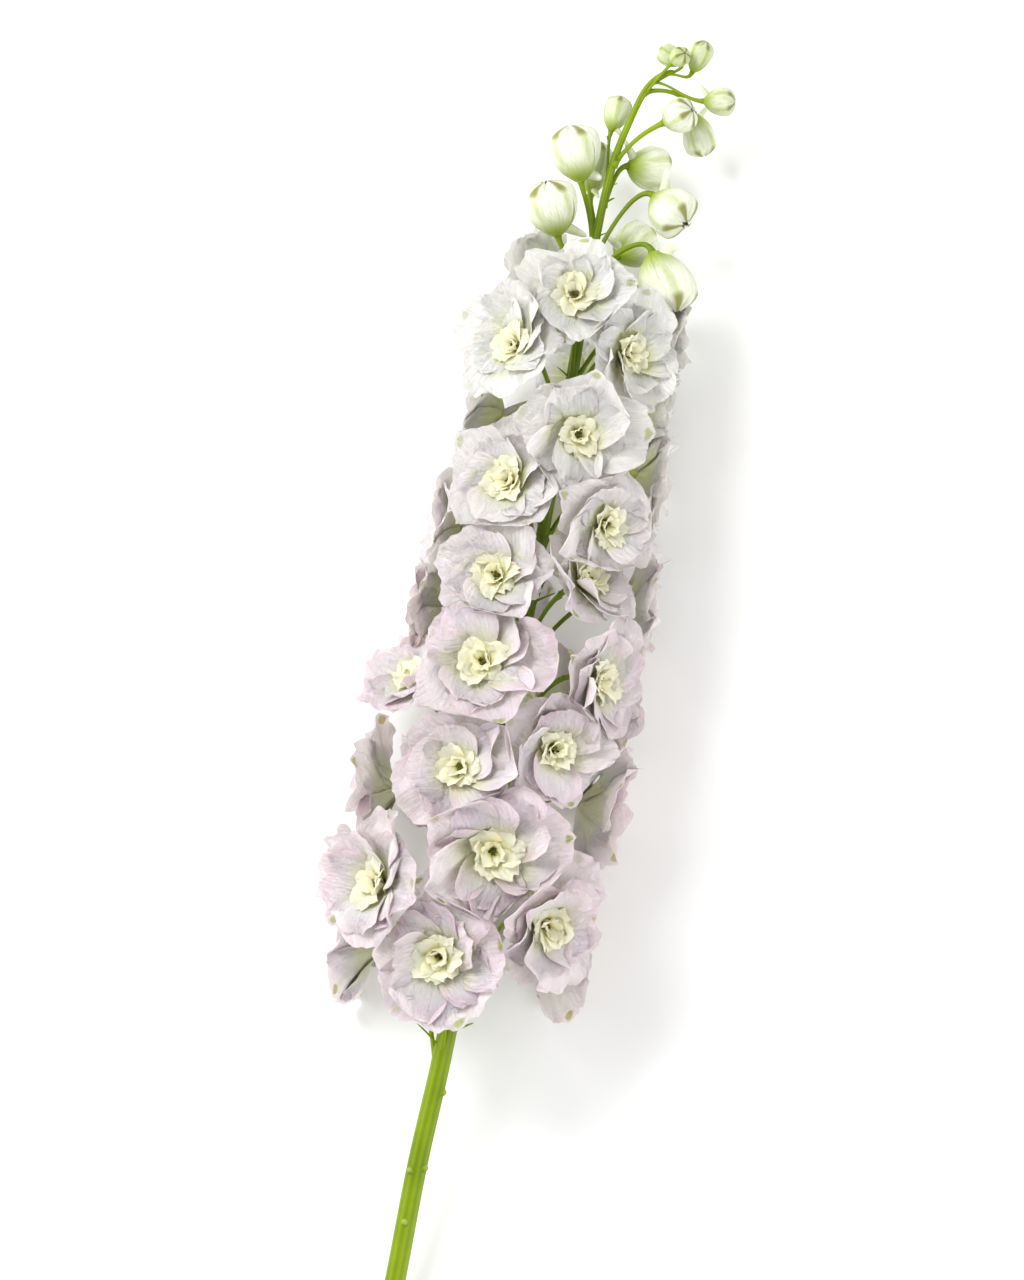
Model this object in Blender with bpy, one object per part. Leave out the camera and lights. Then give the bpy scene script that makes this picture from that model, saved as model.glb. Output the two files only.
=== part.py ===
"""A cut delphinium flower spike that lies on a flat surface.

One green stem carries its pedicels and bracts. Each floret stands at the end of a pedicel and
holds a whorl of broad sepals, a whorl of inner petals, the small petals of the eye and a spur.
Buds follow above the florets, up to the curved tip. The stem runs along +Y, the tip bends to +X,
and the florets underneath are pressed flat against the surface at Z = 0.

Sizes are in millimetres and degrees, and become metres where a mesh is made.
"""

import math
import random
from collections import namedtuple

import bmesh
import bpy
from mathutils import Matrix, Vector

MM = 0.001

# The stem
STEM_SIDES = 8
SPINE_STEP = 28.0
PEDICEL_SIDES = 3
PEDICEL_STEPS = 4
PEDICEL_RADIUS = 1.05
PEDICEL_END_RADIUS = 1.5
PEDICEL_DROP = 1.12
BRACT_LENGTH = 9.0
BRACT_RADIUS = 0.9
SEAT_GAP = 0.3

# A floret
HUB_SIDES = 4
HUB_RADIUS = 2.7
HUB_DEPTH = 3.4
STAMEN_HEIGHT = 6.4
SPUR_SHARE = 0.24
SPUR_RADIUS = 1.5
SPUR_SIDES = 3
SEPAL_COUNT = 5
INNER_COUNT = 5
HIDDEN_INNER_COUNT = 4
EYE_COUNT = 5
BLADE_HALF = 0.45
EYE_HALF = 0.40
NOTCH_AT = 0.2
PETAL_ROOM = 0.64
CLAW_SHARE = 0.24
FULL_GIRTH_AT = 0.62
# Where a petal's middle line has points, and the points of its outline, as (u, v)
FULL_SEPAL = ((0.38, 0.76), ((0.76, -1.0), (1.0, -0.5), (1.0, 0.5), (0.76, 1.0)))
PLAIN_PETAL = ((0.6,), ((0.8, -1.0), (1.0, 0.0), (0.8, 1.0)))
EYE_PETAL = ((0.62,), ((0.9, -0.9), (0.9, 0.9)))

# How close two florets come, and how gently a petal bends away from its neighbour
CLEARANCE = 0.25
BEND_WIDTH = 3.0
LAYER_SHARE = 2.2
PRESS_DEPTH = 0.6
STEM_ROOM_LOW = 13.0
STEM_ROOM_HIGH = 6.5
NEIGHBOUR_SHARE = 0.62
NEIGHBOUR_MARGIN = 4.0

# The spine of the stem: how far along it, how far across to +X, and how high
SpinePoint = namedtuple("SpinePoint", "along across height radius")
SPINE = [
    SpinePoint(-80, 0.0, 4.4, 4.75),
    SpinePoint(-66, 0.0, 4.7, 4.75),
    SpinePoint(0, 0.5, 16.5, 4.7),
    SpinePoint(50, 0.6, 26.5, 4.6),
    SpinePoint(100, 2.4, 36.0, 4.4),
    SpinePoint(170, 3.2, 43.0, 3.9),
    SpinePoint(257, 3.2, 46.0, 3.3),
    SpinePoint(340, 3.0, 45.0, 2.9),
    SpinePoint(413, 2.7, 42.0, 2.6),
    SpinePoint(464, 1.8, 39.0, 2.0),
    SpinePoint(502, 3.2, 37.0, 1.7),
    SpinePoint(524, 7.6, 36.0, 1.5),
    SpinePoint(537, 11.5, 35.5, 1.4),
    SpinePoint(544, 17.0, 35.0, 1.3),
    SpinePoint(547, 23.0, 34.5, 1.2),
]
TIP_ALONG = 524.0

# Each floret: where its pedicel ends, as a height along the spine, an angle round it (0 is up,
# 90 is +X) and a reach from it, then its width, the angle it turns to and how far it lifts
# towards the tip
Floret = namedtuple("Floret", "along around reach width turn lift")
FLORETS = [
    Floret(151, -11, 46, 58, -10, -8),
    Floret(138, -115, 40, 52, -110, 0),
    Floret(172, 38, 47, 54, 42, -10),
    Floret(173, -50, 50, 56, -48, 5),
    Floret(150, 122, 38, 50, 118, 0),
    Floret(160, 180, 31, 50, 180, 26),
    Floret(198, 4, 46, 60, 8, -5),
    Floret(211, -105, 43, 54, -98, -10),
    Floret(222, 110, 40, 54, 104, -5),
    Floret(214, -160, 35, 50, -158, 20),
    Floret(229, -19, 45, 52, -20, 5),
    Floret(244, 25, 44, 50, 32, 0),
    Floret(258, -75, 41, 50, -60, 40),
    Floret(258, 160, 34, 50, 158, 22),
    Floret(274, -19, 43, 56, -15, 10),
    Floret(276, 45, 43, 52, 60, 0),
    Floret(268, 118, 38, 50, 115, 0),
    Floret(294, -100, 36, 52, -92, 0),
    Floret(298, -160, 34, 48, -158, 22),
    Floret(310, -21, 41, 48, -15, 15),
    Floret(313, 98, 40, 50, 92, 5),
    Floret(315, 31, 36, 48, 45, 30),
    Floret(329, -92, 36, 50, -84, 0),
    Floret(342, 33, 41, 48, 38, -5),
    Floret(338, 160, 33, 48, 158, 22),
    Floret(352, -26, 37, 50, -28, 5),
    Floret(362, -150, 28, 46, -148, 20),
    Floret(369, 98, 36, 46, 92, 0),
    Floret(377, 9, 39, 51, 10, 0),
    Floret(383, -105, 28, 46, -96, 5),
    Floret(398, 105, 34, 44, 98, -5),
    Floret(405, 172, 26, 44, 168, 25),
    Floret(411, -43, 34, 48, -40, 5),
    Floret(416, 35, 32, 46, 44, 5),
    Floret(438, 98, 34, 42, 92, 5),
    Floret(436, -8, 31, 44, -5, 8),
    Floret(450, -140, 25, 38, -135, 10),
]
HIDDEN_ANGLE = 85

# Each bud: its base and its tip (across, along, above the spine's own height there), its width,
# how far open it is, and where its pedicel leaves the spine
Bud = namedtuple("Bud", "base tip width opening attach")
BUDS = [
    Bud((30.0, 548, 0), (33.5, 562, 3), 10.5, 0.0, 545),
    Bud((21.0, 550, 6), (25.0, 554, 14), 8.5, 0.0, 528),
    Bud((24.0, 551, -5), (14.5, 556, -11), 9.5, 0.0, 536),
    Bud((37.5, 536, 0), (51.0, 538, 2), 12.5, 0.1, 540),
    Bud((34.0, 530, -8), (42.0, 513, -12), 14.5, 0.1, 535),
    Bud((22.0, 523, 5), (33.0, 530, 13), 15.5, 0.1, 500),
    Bud((-0.5, 516, -6), (1.5, 532, -7), 12.0, 0.0, 488),
    Bud((-9.5, 491, 2), (-18.5, 514, 4), 23.0, 0.3, 462),
    Bud((-4.0, 487, -12), (-4.0, 511, -15), 13.0, 0.2, 466),
    Bud((10.0, 502, -8), (28.0, 504, -16), 20.0, 0.5, 482),
    Bud((23.5, 490, 6), (39.5, 480, 13), 22.5, 0.4, 456),
    Bud((-15.0, 465, 9), (-24.5, 487, 13), 24.0, 0.4, 440),
    Bud((27.5, 465, 9), (42.5, 440, 15), 25.5, 0.5, 450),
    Bud((13.0, 462, -10), (25.0, 474, -22), 20.0, 0.6, 436),
]

# The scars on the bare stem where lower leaves and pedicels came away: along it, round it
SCARS = [(84, 62), (49, 52), (47, -35), (24, -8), (-30, 100)]

# Colours of the parts
PETAL_COLOUR = (0.86, 0.80, 0.87, 1.0)
BUD_COLOUR = (0.78, 0.84, 0.66, 1.0)
STEM_COLOUR = (0.22, 0.38, 0.04, 1.0)


def clear_scene():
    """Remove whatever the scene holds."""
    for found in list(bpy.data.objects):
        bpy.data.objects.remove(found)


def material(name, colour, roughness):
    """A plain surface of one colour."""
    made = bpy.data.materials.new(name)
    made.use_nodes = True
    shader = made.node_tree.nodes["Principled BSDF"]
    shader.inputs["Base Color"].default_value = colour
    shader.inputs["Roughness"].default_value = roughness
    return made


def spine_at(along):
    """The spine's centre, its direction and its radius at a height along it."""
    last = len(SPINE) - 2
    i = max(0, min(last, sum(1 for p in SPINE[1:-1] if p.along <= along)))
    a, b = SPINE[i], SPINE[i + 1]
    span = b.along - a.along
    t = (along - a.along) / span

    def slope(k, field):
        low, high = SPINE[max(0, k - 1)], SPINE[min(len(SPINE) - 1, k + 1)]
        return (getattr(high, field) - getattr(low, field)) / (high.along - low.along)

    def value(field):
        p, q = getattr(a, field), getattr(b, field)
        m, n = slope(i, field) * span, slope(i + 1, field) * span
        here = (
            (2 * t**3 - 3 * t**2 + 1) * p
            + (t**3 - 2 * t**2 + t) * m
            + (3 * t**2 - 2 * t**3) * q
            + (t**3 - t**2) * n
        )
        rate = (
            (6 * t**2 - 6 * t) * p
            + (3 * t**2 - 4 * t + 1) * m
            + (6 * t - 6 * t**2) * q
            + (3 * t**2 - 2 * t) * n
        ) / span
        return here, rate

    across, across_rate = value("across")
    height, height_rate = value("height")
    radius = value("radius")[0]
    centre = Vector((across, along, height))
    return centre, Vector((across_rate, 1.0, height_rate)).normalized(), radius


def spine_sides(direction):
    """The spine's own right and upper side, square to its direction."""
    right = direction.cross(Vector((0, 0, 1))).normalized()
    return right, right.cross(direction).normalized()


def round_the_spine(along, angle):
    """The direction away from the spine at an angle round it."""
    right, upper = spine_sides(spine_at(along)[1])
    turn = math.radians(angle)
    return math.sin(turn) * right + math.cos(turn) * upper


class Place:
    """Where a floret or a bud sits: its hub, its facing axis and the space that is its own."""

    def __init__(self, hub, out, up_hint, size, attach):
        self.hub = hub
        self.out = out.normalized()
        self.right = up_hint.cross(self.out).normalized()
        self.up = self.out.cross(self.right)
        self.size = size
        self.attach = attach
        self.centre = hub
        self.walls = []

    def point(self, x, y, z):
        """A point of the floret's own frame, in the part's frame."""
        return self.hub + self.right * x + self.up * y + self.out * z


def place_of_floret(floret):
    """The place of a floret from its row in the table."""
    centre, direction, _ = spine_at(floret.along)
    hub = centre + round_the_spine(floret.along, floret.around) * floret.reach
    lift = math.radians(floret.lift)
    out = round_the_spine(floret.along, floret.turn) * math.cos(lift)
    out += direction * math.sin(lift)
    attach = floret.along - PEDICEL_DROP * floret.reach
    place = Place(hub, out, direction, floret.width, attach)
    place.centre = place.point(0, 0, 0.1 * floret.width)
    return place


def place_of_bud(bud):
    """The place of a bud from its row in the table."""
    across, along, above = bud.base
    level = spine_at(min(along, SPINE[-1].along))[0].z
    hub = Vector((across, along, level + above))
    far = Vector((bud.tip[0], bud.tip[1], level + bud.tip[2]))
    direction = spine_at(min(along, TIP_ALONG))[1]
    place = Place(hub, far - hub, direction, bud.width, bud.attach)
    place.centre = (hub + far) / 2
    return place


def give_walls(places):
    """Part the space between neighbours with planes, so that no petal crosses another floret."""
    for i, one in enumerate(places):
        for other in places[i + 1 :]:
            between = one.centre - other.centre
            if between.length > NEIGHBOUR_SHARE * (one.size + other.size) + NEIGHBOUR_MARGIN:
                continue
            middle = (one.centre + other.centre) / 2
            axis = spine_at(min(middle.y, TIP_ALONG))[0]
            outward = (middle - axis) * Vector((1, 0, 1))
            normal = between.copy()
            if outward.length > 6:
                outward.normalize()
                normal += outward * (LAYER_SHARE - 1) * between.dot(outward)
            normal.normalize()
            share = other.size / (one.size + other.size)
            on_wall = other.centre + between * share
            one.walls.append((on_wall, normal))
            other.walls.append((on_wall, -normal))


def keep_off_stem(place):
    """Give a floret the wall that keeps its petals off the stem and the pedicels beside it."""
    axis, direction, _ = spine_at(min(place.hub.y, TIP_ALONG))
    outward = place.hub - axis
    outward -= direction * outward.dot(direction)
    low, high = SPINE[4].along, SPINE[9].along
    share = min(1.0, max(0.0, (place.hub.y - low) / (high - low)))
    room = STEM_ROOM_LOW + (STEM_ROOM_HIGH - STEM_ROOM_LOW) * share
    normal = outward.normalized()
    place.walls.append((axis + normal * room, normal))


def bent_clear(point, place, skin):
    """A point moved inside its floret's walls and above the surface, bending over a short way."""
    for _ in range(2):
        for on_wall, normal in place.walls:
            inside = (point - on_wall).dot(normal) - CLEARANCE - skin
            point = point + normal * (soft_floor(inside) - inside)
    for on_wall, normal in place.walls:
        inside = (point - on_wall).dot(normal) - CLEARANCE - skin
        if inside < 0:
            depth = (place.hub - on_wall).dot(normal) - CLEARANCE - skin
            share = max(0.0, depth) / (depth - inside)
            point = place.hub + (point - place.hub) * share
    above = point.z - skin
    return Vector((point.x, point.y, soft_floor(above) + skin))


def soft_floor(value):
    """The value, kept at 0 or more with a smooth bend."""
    if value >= BEND_WIDTH:
        return value
    if value <= -BEND_WIDTH:
        return 0.0
    return (value + BEND_WIDTH) ** 2 / (4 * BEND_WIDTH)


Petal = namedtuple("Petal", "angle root level length width rise spread cup twist wave phase peak")


def petal_point(petal, u, v):
    """A point of a petal's middle surface in its floret's frame, u along it and v across."""
    shoulder = 0.30 * abs(v) ** 2.4
    along = u * (1 - shoulder) + petal.peak * math.exp(-((v / 0.16) ** 2)) * u**6
    start, end = math.radians(petal.rise), math.radians(petal.spread)
    bend = end - start
    slope = start + bend * along
    run = (math.sin(slope) - math.sin(start)) / bend
    lift = (math.cos(start) - math.cos(slope)) / bend
    full = min(along / FULL_GIRTH_AT, 1.0)
    girth = CLAW_SHARE + (1 - CLAW_SHARE) * math.sin(math.pi / 2 * full) ** 0.85
    girth *= 1 - 0.10 * max(0.0, along - FULL_GIRTH_AT)
    half = petal.width / 2 * girth
    curl = max(petal.cup, 0.05)
    side = half * math.sin(curl * v) / curl
    hollow = half * (1 - math.cos(curl * v)) / curl
    ripple = petal.wave * petal.length * u**1.5
    ripple *= abs(v) ** 1.5 * math.sin(5.2 * u + petal.phase + 1.4 * math.copysign(1, v)) + (
        0.7 * u**3 * math.sin(4.1 * v + petal.phase)
    )
    raised = hollow + petal.twist * side + ripple
    reach = petal.root + petal.length * run - raised * math.sin(slope)
    height = petal.level + petal.length * lift + raised * math.cos(slope)
    room = PETAL_ROOM * max(reach, 0.0)
    side = max(-room, min(room, side))
    turn = math.radians(petal.angle)
    x = reach * math.sin(turn) + side * math.cos(turn)
    y = reach * math.cos(turn) - side * math.sin(turn)
    return x, y, height


def whorl(count, size, seed, offset, **shape):
    """The petals of one whorl, each a little different from the next."""
    draw = random.Random(seed)
    petals = []
    for k in range(count):
        length = size * shape["length"] * draw.uniform(0.93, 1.07)
        petals.append(
            Petal(
                angle=offset + 360 / count * k + draw.uniform(-2.5, 2.5),
                root=shape["root"],
                level=shape["level"],
                length=length,
                width=size * shape["width"] * draw.uniform(0.94, 1.06),
                rise=shape["rise"] + draw.uniform(-5, 5),
                spread=shape["spread"] + draw.uniform(-9, 9),
                cup=shape["cup"] * draw.uniform(0.7, 1.3),
                twist=shape["twist"],
                wave=shape["wave"] * draw.uniform(0.6, 1.4),
                phase=draw.uniform(0, 2 * math.pi),
                peak=shape["peak"],
            )
        )
    return petals


def floret_petals(floret, number):
    """The sepals, the inner petals and the petals of the eye of one floret."""
    size = floret.width
    inner_count = INNER_COUNT if abs(floret.around) < HIDDEN_ANGLE else HIDDEN_INNER_COUNT
    sepals = whorl(
        SEPAL_COUNT, size, 100 + number, 0,
        level=0.0, length=0.52, width=0.50, root=1.0, rise=36, spread=4, cup=0.55, twist=0.14, wave=0.05,
        peak=0.05,
    )
    inner = whorl(
        inner_count, size, 200 + number, 36,
        level=2.4, length=0.42, width=0.36, root=0.8, rise=56, spread=14, cup=0.7, twist=0.10, wave=0.05,
        peak=0.0,
    )
    eye = whorl(
        EYE_COUNT, size, 300 + number, 10,
        level=4.6, length=0.20, width=0.11, root=0.6, rise=74, spread=40, cup=0.6, twist=0.0, wave=0.05,
        peak=0.0,
    )
    return sepals, inner, eye


def mesh_object(name, faces_of, collection):
    """An object from (vertices in millimetres, faces), with its faces pointing out."""
    vertices, faces = faces_of
    mesh = bpy.data.meshes.new(name)
    mesh.from_pydata([v * MM for v in vertices], [], faces)
    shaped = bmesh.new()
    shaped.from_mesh(mesh)
    bmesh.ops.remove_doubles(shaped, verts=shaped.verts, dist=1e-7)
    bmesh.ops.recalc_face_normals(shaped, faces=shaped.faces)
    if shaped.calc_volume(signed=True) < 0:
        bmesh.ops.reverse_faces(shaped, faces=shaped.faces)
    shaped.to_mesh(mesh)
    shaped.free()
    made = bpy.data.objects.new(name, mesh)
    collection.objects.link(made)
    return made


def notch(one, other, place):
    """The point where two neighbouring petals of a whorl part from each other."""
    left = place.point(*petal_point(one, NOTCH_AT, 1.0))
    right = place.point(*petal_point(other, NOTCH_AT, -1.0))
    return bent_clear((left + right) / 2, place, 0.0)


def raised_pair(petal, place, u, half):
    """The two points on a petal's front and back, on its middle line."""

    def middle(at, across):
        return bent_clear(place.point(*petal_point(petal, at, across)), place, half)

    step = 0.03
    lengthwise = middle(u + step, 0.0) - middle(u - step, 0.0)
    crosswise = middle(u, step) - middle(u, -step)
    normal = crosswise.cross(lengthwise).normalized() * half
    here = middle(u, 0.0)
    return here + normal, here - normal


def corolla(petals, place, half, ribs, outline):
    """A whorl of petals on one ring of claws, full along each rib and feathered to its edge.

    Each petal has its ribs' places along its middle line, and its outline's places (u, v).
    """
    centre = place.point(0, 0, petals[0].level)
    vertices = [centre + place.out * half, centre - place.out * half]
    faces = []

    def add(*points):
        vertices.extend(points)
        return len(vertices) - len(points), len(vertices) - 1

    notches = [add(notch(petals[k - 1], petals[k], place)) for k in range(len(petals))]
    for k, petal in enumerate(petals):
        rib = [(0, 1)] + [add(*raised_pair(petal, place, u, half)) for u in ribs]
        edge = [notches[k]]
        for u, v in outline:
            edge.append(add(bent_clear(place.point(*petal_point(petal, u, v)), place, 0.0)))
        edge.append(notches[(k + 1) % len(petals)])
        corners = [(rib[-1], edge[j], edge[j + 1]) for j in range(len(edge) - 1)]
        if len(rib) > 1:
            corners += [(rib[0], edge[0], rib[1]), (rib[0], rib[1], edge[-1])]
        if len(rib) > 2:
            corners = corners[1:-3] + corners[-2:]
            corners += [(rib[1], edge[0], edge[1]), (rib[1], edge[1], rib[2])]
            corners += [(rib[1], rib[2], edge[-2]), (rib[1], edge[-2], edge[-1])]
        for p, q, r in corners:
            faces += [(p[0], q[0], r[0]), (r[1], q[1], p[1])]
    return vertices, faces


def rings_solid(rings):
    """A closed solid through rings of points, with a flat first end and a flat last end."""
    vertices = [v for ring in rings for v in ring]
    count = len(rings[0])
    faces = [tuple(reversed(range(count)))]
    for k in range(len(rings) - 1):
        for j in range(count):
            a, b = k * count + j, k * count + (j + 1) % count
            faces += [(a, b, b + count, a + count)]
    faces.append(tuple(range((len(rings) - 1) * count, len(rings) * count)))
    return vertices, faces


def ring(centre, direction, radius, sides, turn=0.0):
    """Points of a circle square to a direction."""
    right = direction.cross(Vector((0, 0, 1)))
    if right.length < 0.05:
        right = direction.cross(Vector((0, 1, 0)))
    right.normalize()
    upper = right.cross(direction)
    angles = [turn + 2 * math.pi * k / sides for k in range(sides)]
    return [centre + (right * math.cos(a) + upper * math.sin(a)) * radius for a in angles]


def swept(path, ways, radii, sides):
    """A closed tube along a path, whose rings face the given ways and turn no more than they must."""
    right = ways[0].orthogonal().normalized()
    rings = []
    for centre, way, radius in zip(path, ways, radii):
        right = (right - way * right.dot(way)).normalized()
        upper = right.cross(way)
        angles = [2 * math.pi * k / sides for k in range(sides)]
        rings.append([centre + (right * math.cos(a) + upper * math.sin(a)) * radius for a in angles])
    return rings_solid(rings)


def hub_solid(place):
    """The floret's receptacle, with the cluster of stamens on its top."""
    rings = []
    for height, radius in ((-HUB_DEPTH, 1.6), (0.2, HUB_RADIUS), (STAMEN_HEIGHT, 1.5)):
        angles = [2 * math.pi * (k + 0.5) / HUB_SIDES for k in range(HUB_SIDES)]
        rings.append([place.point(math.sin(a) * radius, math.cos(a) * radius, height) for a in angles])
    return rings_solid(rings)


def spur_solid(place, length):
    """The spur behind the uppermost sepal, bent a little outwards."""
    path, ways, radii = [], [], []
    for share, radius in ((0.0, 1.3), (0.45, 1.0), (1.0, 0.55)):
        radii.append(radius * SPUR_RADIUS)
        reach = 1.4 + share * length * 0.75
        depth = -0.8 - length * (0.62 * share + 0.25 * share**2)
        path.append(bent_clear(place.point(0, reach, depth), place, radii[-1]))
        ways.append((place.up * 0.75 - place.out * (0.62 + 0.5 * share)).normalized())
    return swept(path, ways, radii, SPUR_SIDES)


def joined(name, body, pieces, group):
    """One solid from a body and the pieces that grow from it."""
    union = body.modifiers.new("union", "BOOLEAN")
    union.operation = "UNION"
    union.operand_type = "COLLECTION"
    union.collection = group
    union.solver = "MANIFOLD"
    graph = bpy.context.evaluated_depsgraph_get()
    mesh = bpy.data.meshes.new_from_object(body.evaluated_get(graph))
    mesh.name = name
    for piece in [body, *pieces]:
        bpy.data.objects.remove(piece)
    bpy.data.collections.remove(group)
    keep_outer_body(mesh)
    made = bpy.data.objects.new(name, mesh)
    bpy.context.scene.collection.objects.link(made)
    return made


def keep_outer_body(mesh):
    """Fill the hollows that the union sealed and drop any loose scrap."""
    shaped = bmesh.new()
    shaped.from_mesh(mesh)
    unseen = set(shaped.faces)
    bodies = []
    while unseen:
        found = [unseen.pop()]
        for face in found:
            for edge in face.edges:
                for beside in edge.link_faces:
                    if beside in unseen:
                        unseen.remove(beside)
                        found.append(beside)
        bodies.append(found)
    largest = max(bodies, key=len)
    spare = [face for found in bodies if found is not largest for face in found]
    bmesh.ops.delete(shaped, geom=spare, context="FACES")
    shaped.to_mesh(mesh)
    shaped.free()


def new_group():
    """A collection for the pieces that one union joins."""
    group = bpy.data.collections.new("pieces")
    bpy.context.scene.collection.children.link(group)
    return group


def press_flat(mesh):
    """Lay the undersides of petals that meet the surface flat on it."""
    for vertex in mesh.vertices:
        if vertex.co.z < PRESS_DEPTH * MM:
            vertex.co.z = 0.0


def make_floret(number, floret, place, surface):
    """One floret: hub, spur, sepals, inner petals and eye, grown together."""
    group = new_group()
    body = mesh_object("hub", hub_solid(place), bpy.context.scene.collection)
    sepals, inner, eye = floret_petals(floret, number)
    facing = abs(floret.around) < HIDDEN_ANGLE
    whorls = [
        corolla(sepals, place, BLADE_HALF, *(FULL_SEPAL if facing else PLAIN_PETAL)),
        corolla(inner, place, BLADE_HALF, *PLAIN_PETAL),
    ]
    if facing:
        whorls.append(corolla(eye, place, EYE_HALF, *EYE_PETAL))
    pieces = [mesh_object("spur", spur_solid(place, SPUR_SHARE * floret.width), group)]
    pieces += [mesh_object("whorl", shape, group) for shape in whorls]
    made = joined(f"floret_{number:02d}", body, pieces, group)
    press_flat(made.data)
    made.data.materials.append(surface)
    return made


def bud_solid(bud, place):
    """A bud's five folded sepals as a ribbed egg that opens a little at its end."""
    length = (Vector(bud.tip) - Vector(bud.base)).length
    sides = 10
    rings = []
    for t, girth in ((0.0, 0.22), (0.22, 0.86), (0.62, 0.96), (0.97, 0.24)):
        girth += bud.opening * 0.30 * t
        points = []
        for k in range(sides):
            angle = 2 * math.pi * k / sides
            fold = 1 - 0.09 * (k % 2) * math.sin(math.pi * t) - 0.10 * bud.opening * t * (k % 2)
            radius = bud.width / 2 * girth * fold
            dip = 0.05 * length * t * (1 - k % 2) if t > 0.8 else 0.0
            point = place.point(math.sin(angle) * radius, math.cos(angle) * radius, length * t + dip)
            points.append(bent_clear(point, place, 0.0))
        rings.append(points)
    return rings_solid(rings)


def bud_spur_solid(place, size):
    """The short spur at the foot of a bud."""
    path, radii = [], []
    for share, radius in ((0.0, 0.11), (0.5, 0.085), (1.0, 0.04)):
        radii.append(radius * size)
        foot = place.out * size * (0.14 - 0.30 * share) + place.up * size * (0.16 + 0.42 * share)
        path.append(bent_clear(place.hub + foot, place, radii[-1]))
    way = (place.up * 0.42 - place.out * 0.30).normalized()
    return swept(path, [way] * len(path), radii, SPUR_SIDES)


def make_bud(number, bud, place, surface):
    """One bud with its spur."""
    group = new_group()
    body = mesh_object("bud", bud_solid(bud, place), bpy.context.scene.collection)
    pieces = [mesh_object("spur", bud_spur_solid(place, bud.width), group)]
    made = joined(f"bud_{number:02d}", body, pieces, group)
    made.data.materials.append(surface)
    return made


def pedicel_path(place, seat):
    """The curve that a pedicel follows from inside the stem to its seat under the hub."""
    start, direction, radius = spine_at(place.attach)
    outward = seat - start
    outward -= direction * outward.dot(direction)
    reach = outward.length
    outward.normalize()
    away = start + outward * radius * 0.3
    climb = (seat - start).dot(direction)
    bows = [
        away,
        away + direction * max(6.0, climb * 0.55) + outward * (radius * 0.7 + 0.16 * reach),
        seat - place.out * max(5.0, 0.42 * reach),
        seat,
    ]
    path = []
    for k in range(PEDICEL_STEPS + 1):
        t = k / PEDICEL_STEPS
        weights = ((1 - t) ** 3, 3 * t * (1 - t) ** 2, 3 * t**2 * (1 - t), t**3)
        path.append(sum((b * w for b, w in zip(bows, weights)), Vector()))
    return path


def pedicel_solid(place, seat):
    """One pedicel, thicker towards its flower, with a flat end square to the hub."""
    path = pedicel_path(place, seat)
    last = len(path) - 1
    flare = PEDICEL_END_RADIUS - PEDICEL_RADIUS
    radii = [PEDICEL_RADIUS + flare * (k / last) ** 3 for k in range(last + 1)]
    ways = [(path[min(k + 1, last)] - path[max(k - 1, 0)]).normalized() for k in range(last)]
    return swept(path, [*ways, place.out], radii, PEDICEL_SIDES)


def bract_solid(place, seat):
    """The narrow leaf at the foot of a pedicel."""
    path = pedicel_path(place, seat)
    base = path[0]
    direction = spine_at(place.attach)[1]
    outward = (path[1] - path[0]).normalized()
    side = outward.cross(direction)
    way = (direction * 0.72 + outward * 0.45 + side * 1.3).normalized()
    tip = base + way * BRACT_LENGTH
    foot = base + outward * 0.6
    root = ring(foot, way, BRACT_RADIUS, 3)
    vertices = [*root, tip]
    return vertices, [(2, 1, 0), (0, 1, 3), (1, 2, 3), (2, 0, 3)]


def scar_solid(along, angle):
    """A low knob where a leaf or a pedicel came away."""
    centre, direction, radius = spine_at(along)
    outward = round_the_spine(along, angle)
    foot = centre + outward * radius * 0.5
    way = (outward + direction * 0.5).normalized()
    rings = [ring(foot, way, 2.1, 5), ring(foot + way * (radius * 0.5 + 1.5), way, 1.2, 5)]
    return rings_solid(rings)


def stem_rings():
    """The main stem's rings, closer together where the tip curves."""
    heights = []
    along = SPINE[0].along
    while along < SPINE[-1].along:
        heights.append(along)
        curved = along > SPINE[9].along
        along += SPINE_STEP * (0.22 if along > TIP_ALONG else 0.5 if curved else 1.0)
    heights.append(SPINE[-1].along)
    turn = -math.pi / 2 - math.pi / STEM_SIDES
    rings = []
    for height in heights:
        centre, direction, radius = spine_at(height)
        rings.append(ring(centre, direction, radius, STEM_SIDES, turn))
    return rings


def make_stem(places, surface):
    """The stem with every pedicel, bract and scar grown from it."""
    group = new_group()
    body = mesh_object("stem_body", rings_solid(stem_rings()), bpy.context.scene.collection)
    pieces = []
    for place, depth in places:
        seat = place.point(0, 0, -depth - SEAT_GAP)
        pieces.append(mesh_object("pedicel", pedicel_solid(place, seat), group))
        if place.attach < TIP_ALONG:
            pieces.append(mesh_object("bract", bract_solid(place, seat), group))
    for along, angle in SCARS:
        pieces.append(mesh_object("scar", scar_solid(along, angle), group))
    made = joined("stem", body, pieces, group)
    made.data.materials.append(surface)
    return made


def stand_on_origin(parts):
    """Move every mesh so that the origin is under the middle of the whole part."""
    corners = [v.co for part in parts for v in part.data.vertices]
    low = Vector([min(c[k] for c in corners) for k in range(3)])
    high = Vector([max(c[k] for c in corners) for k in range(3)])
    shift = Vector((-(low.x + high.x) / 2, -(low.y + high.y) / 2, -low.z))
    for part in parts:
        part.data.transform(Matrix.Translation(shift))


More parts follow.
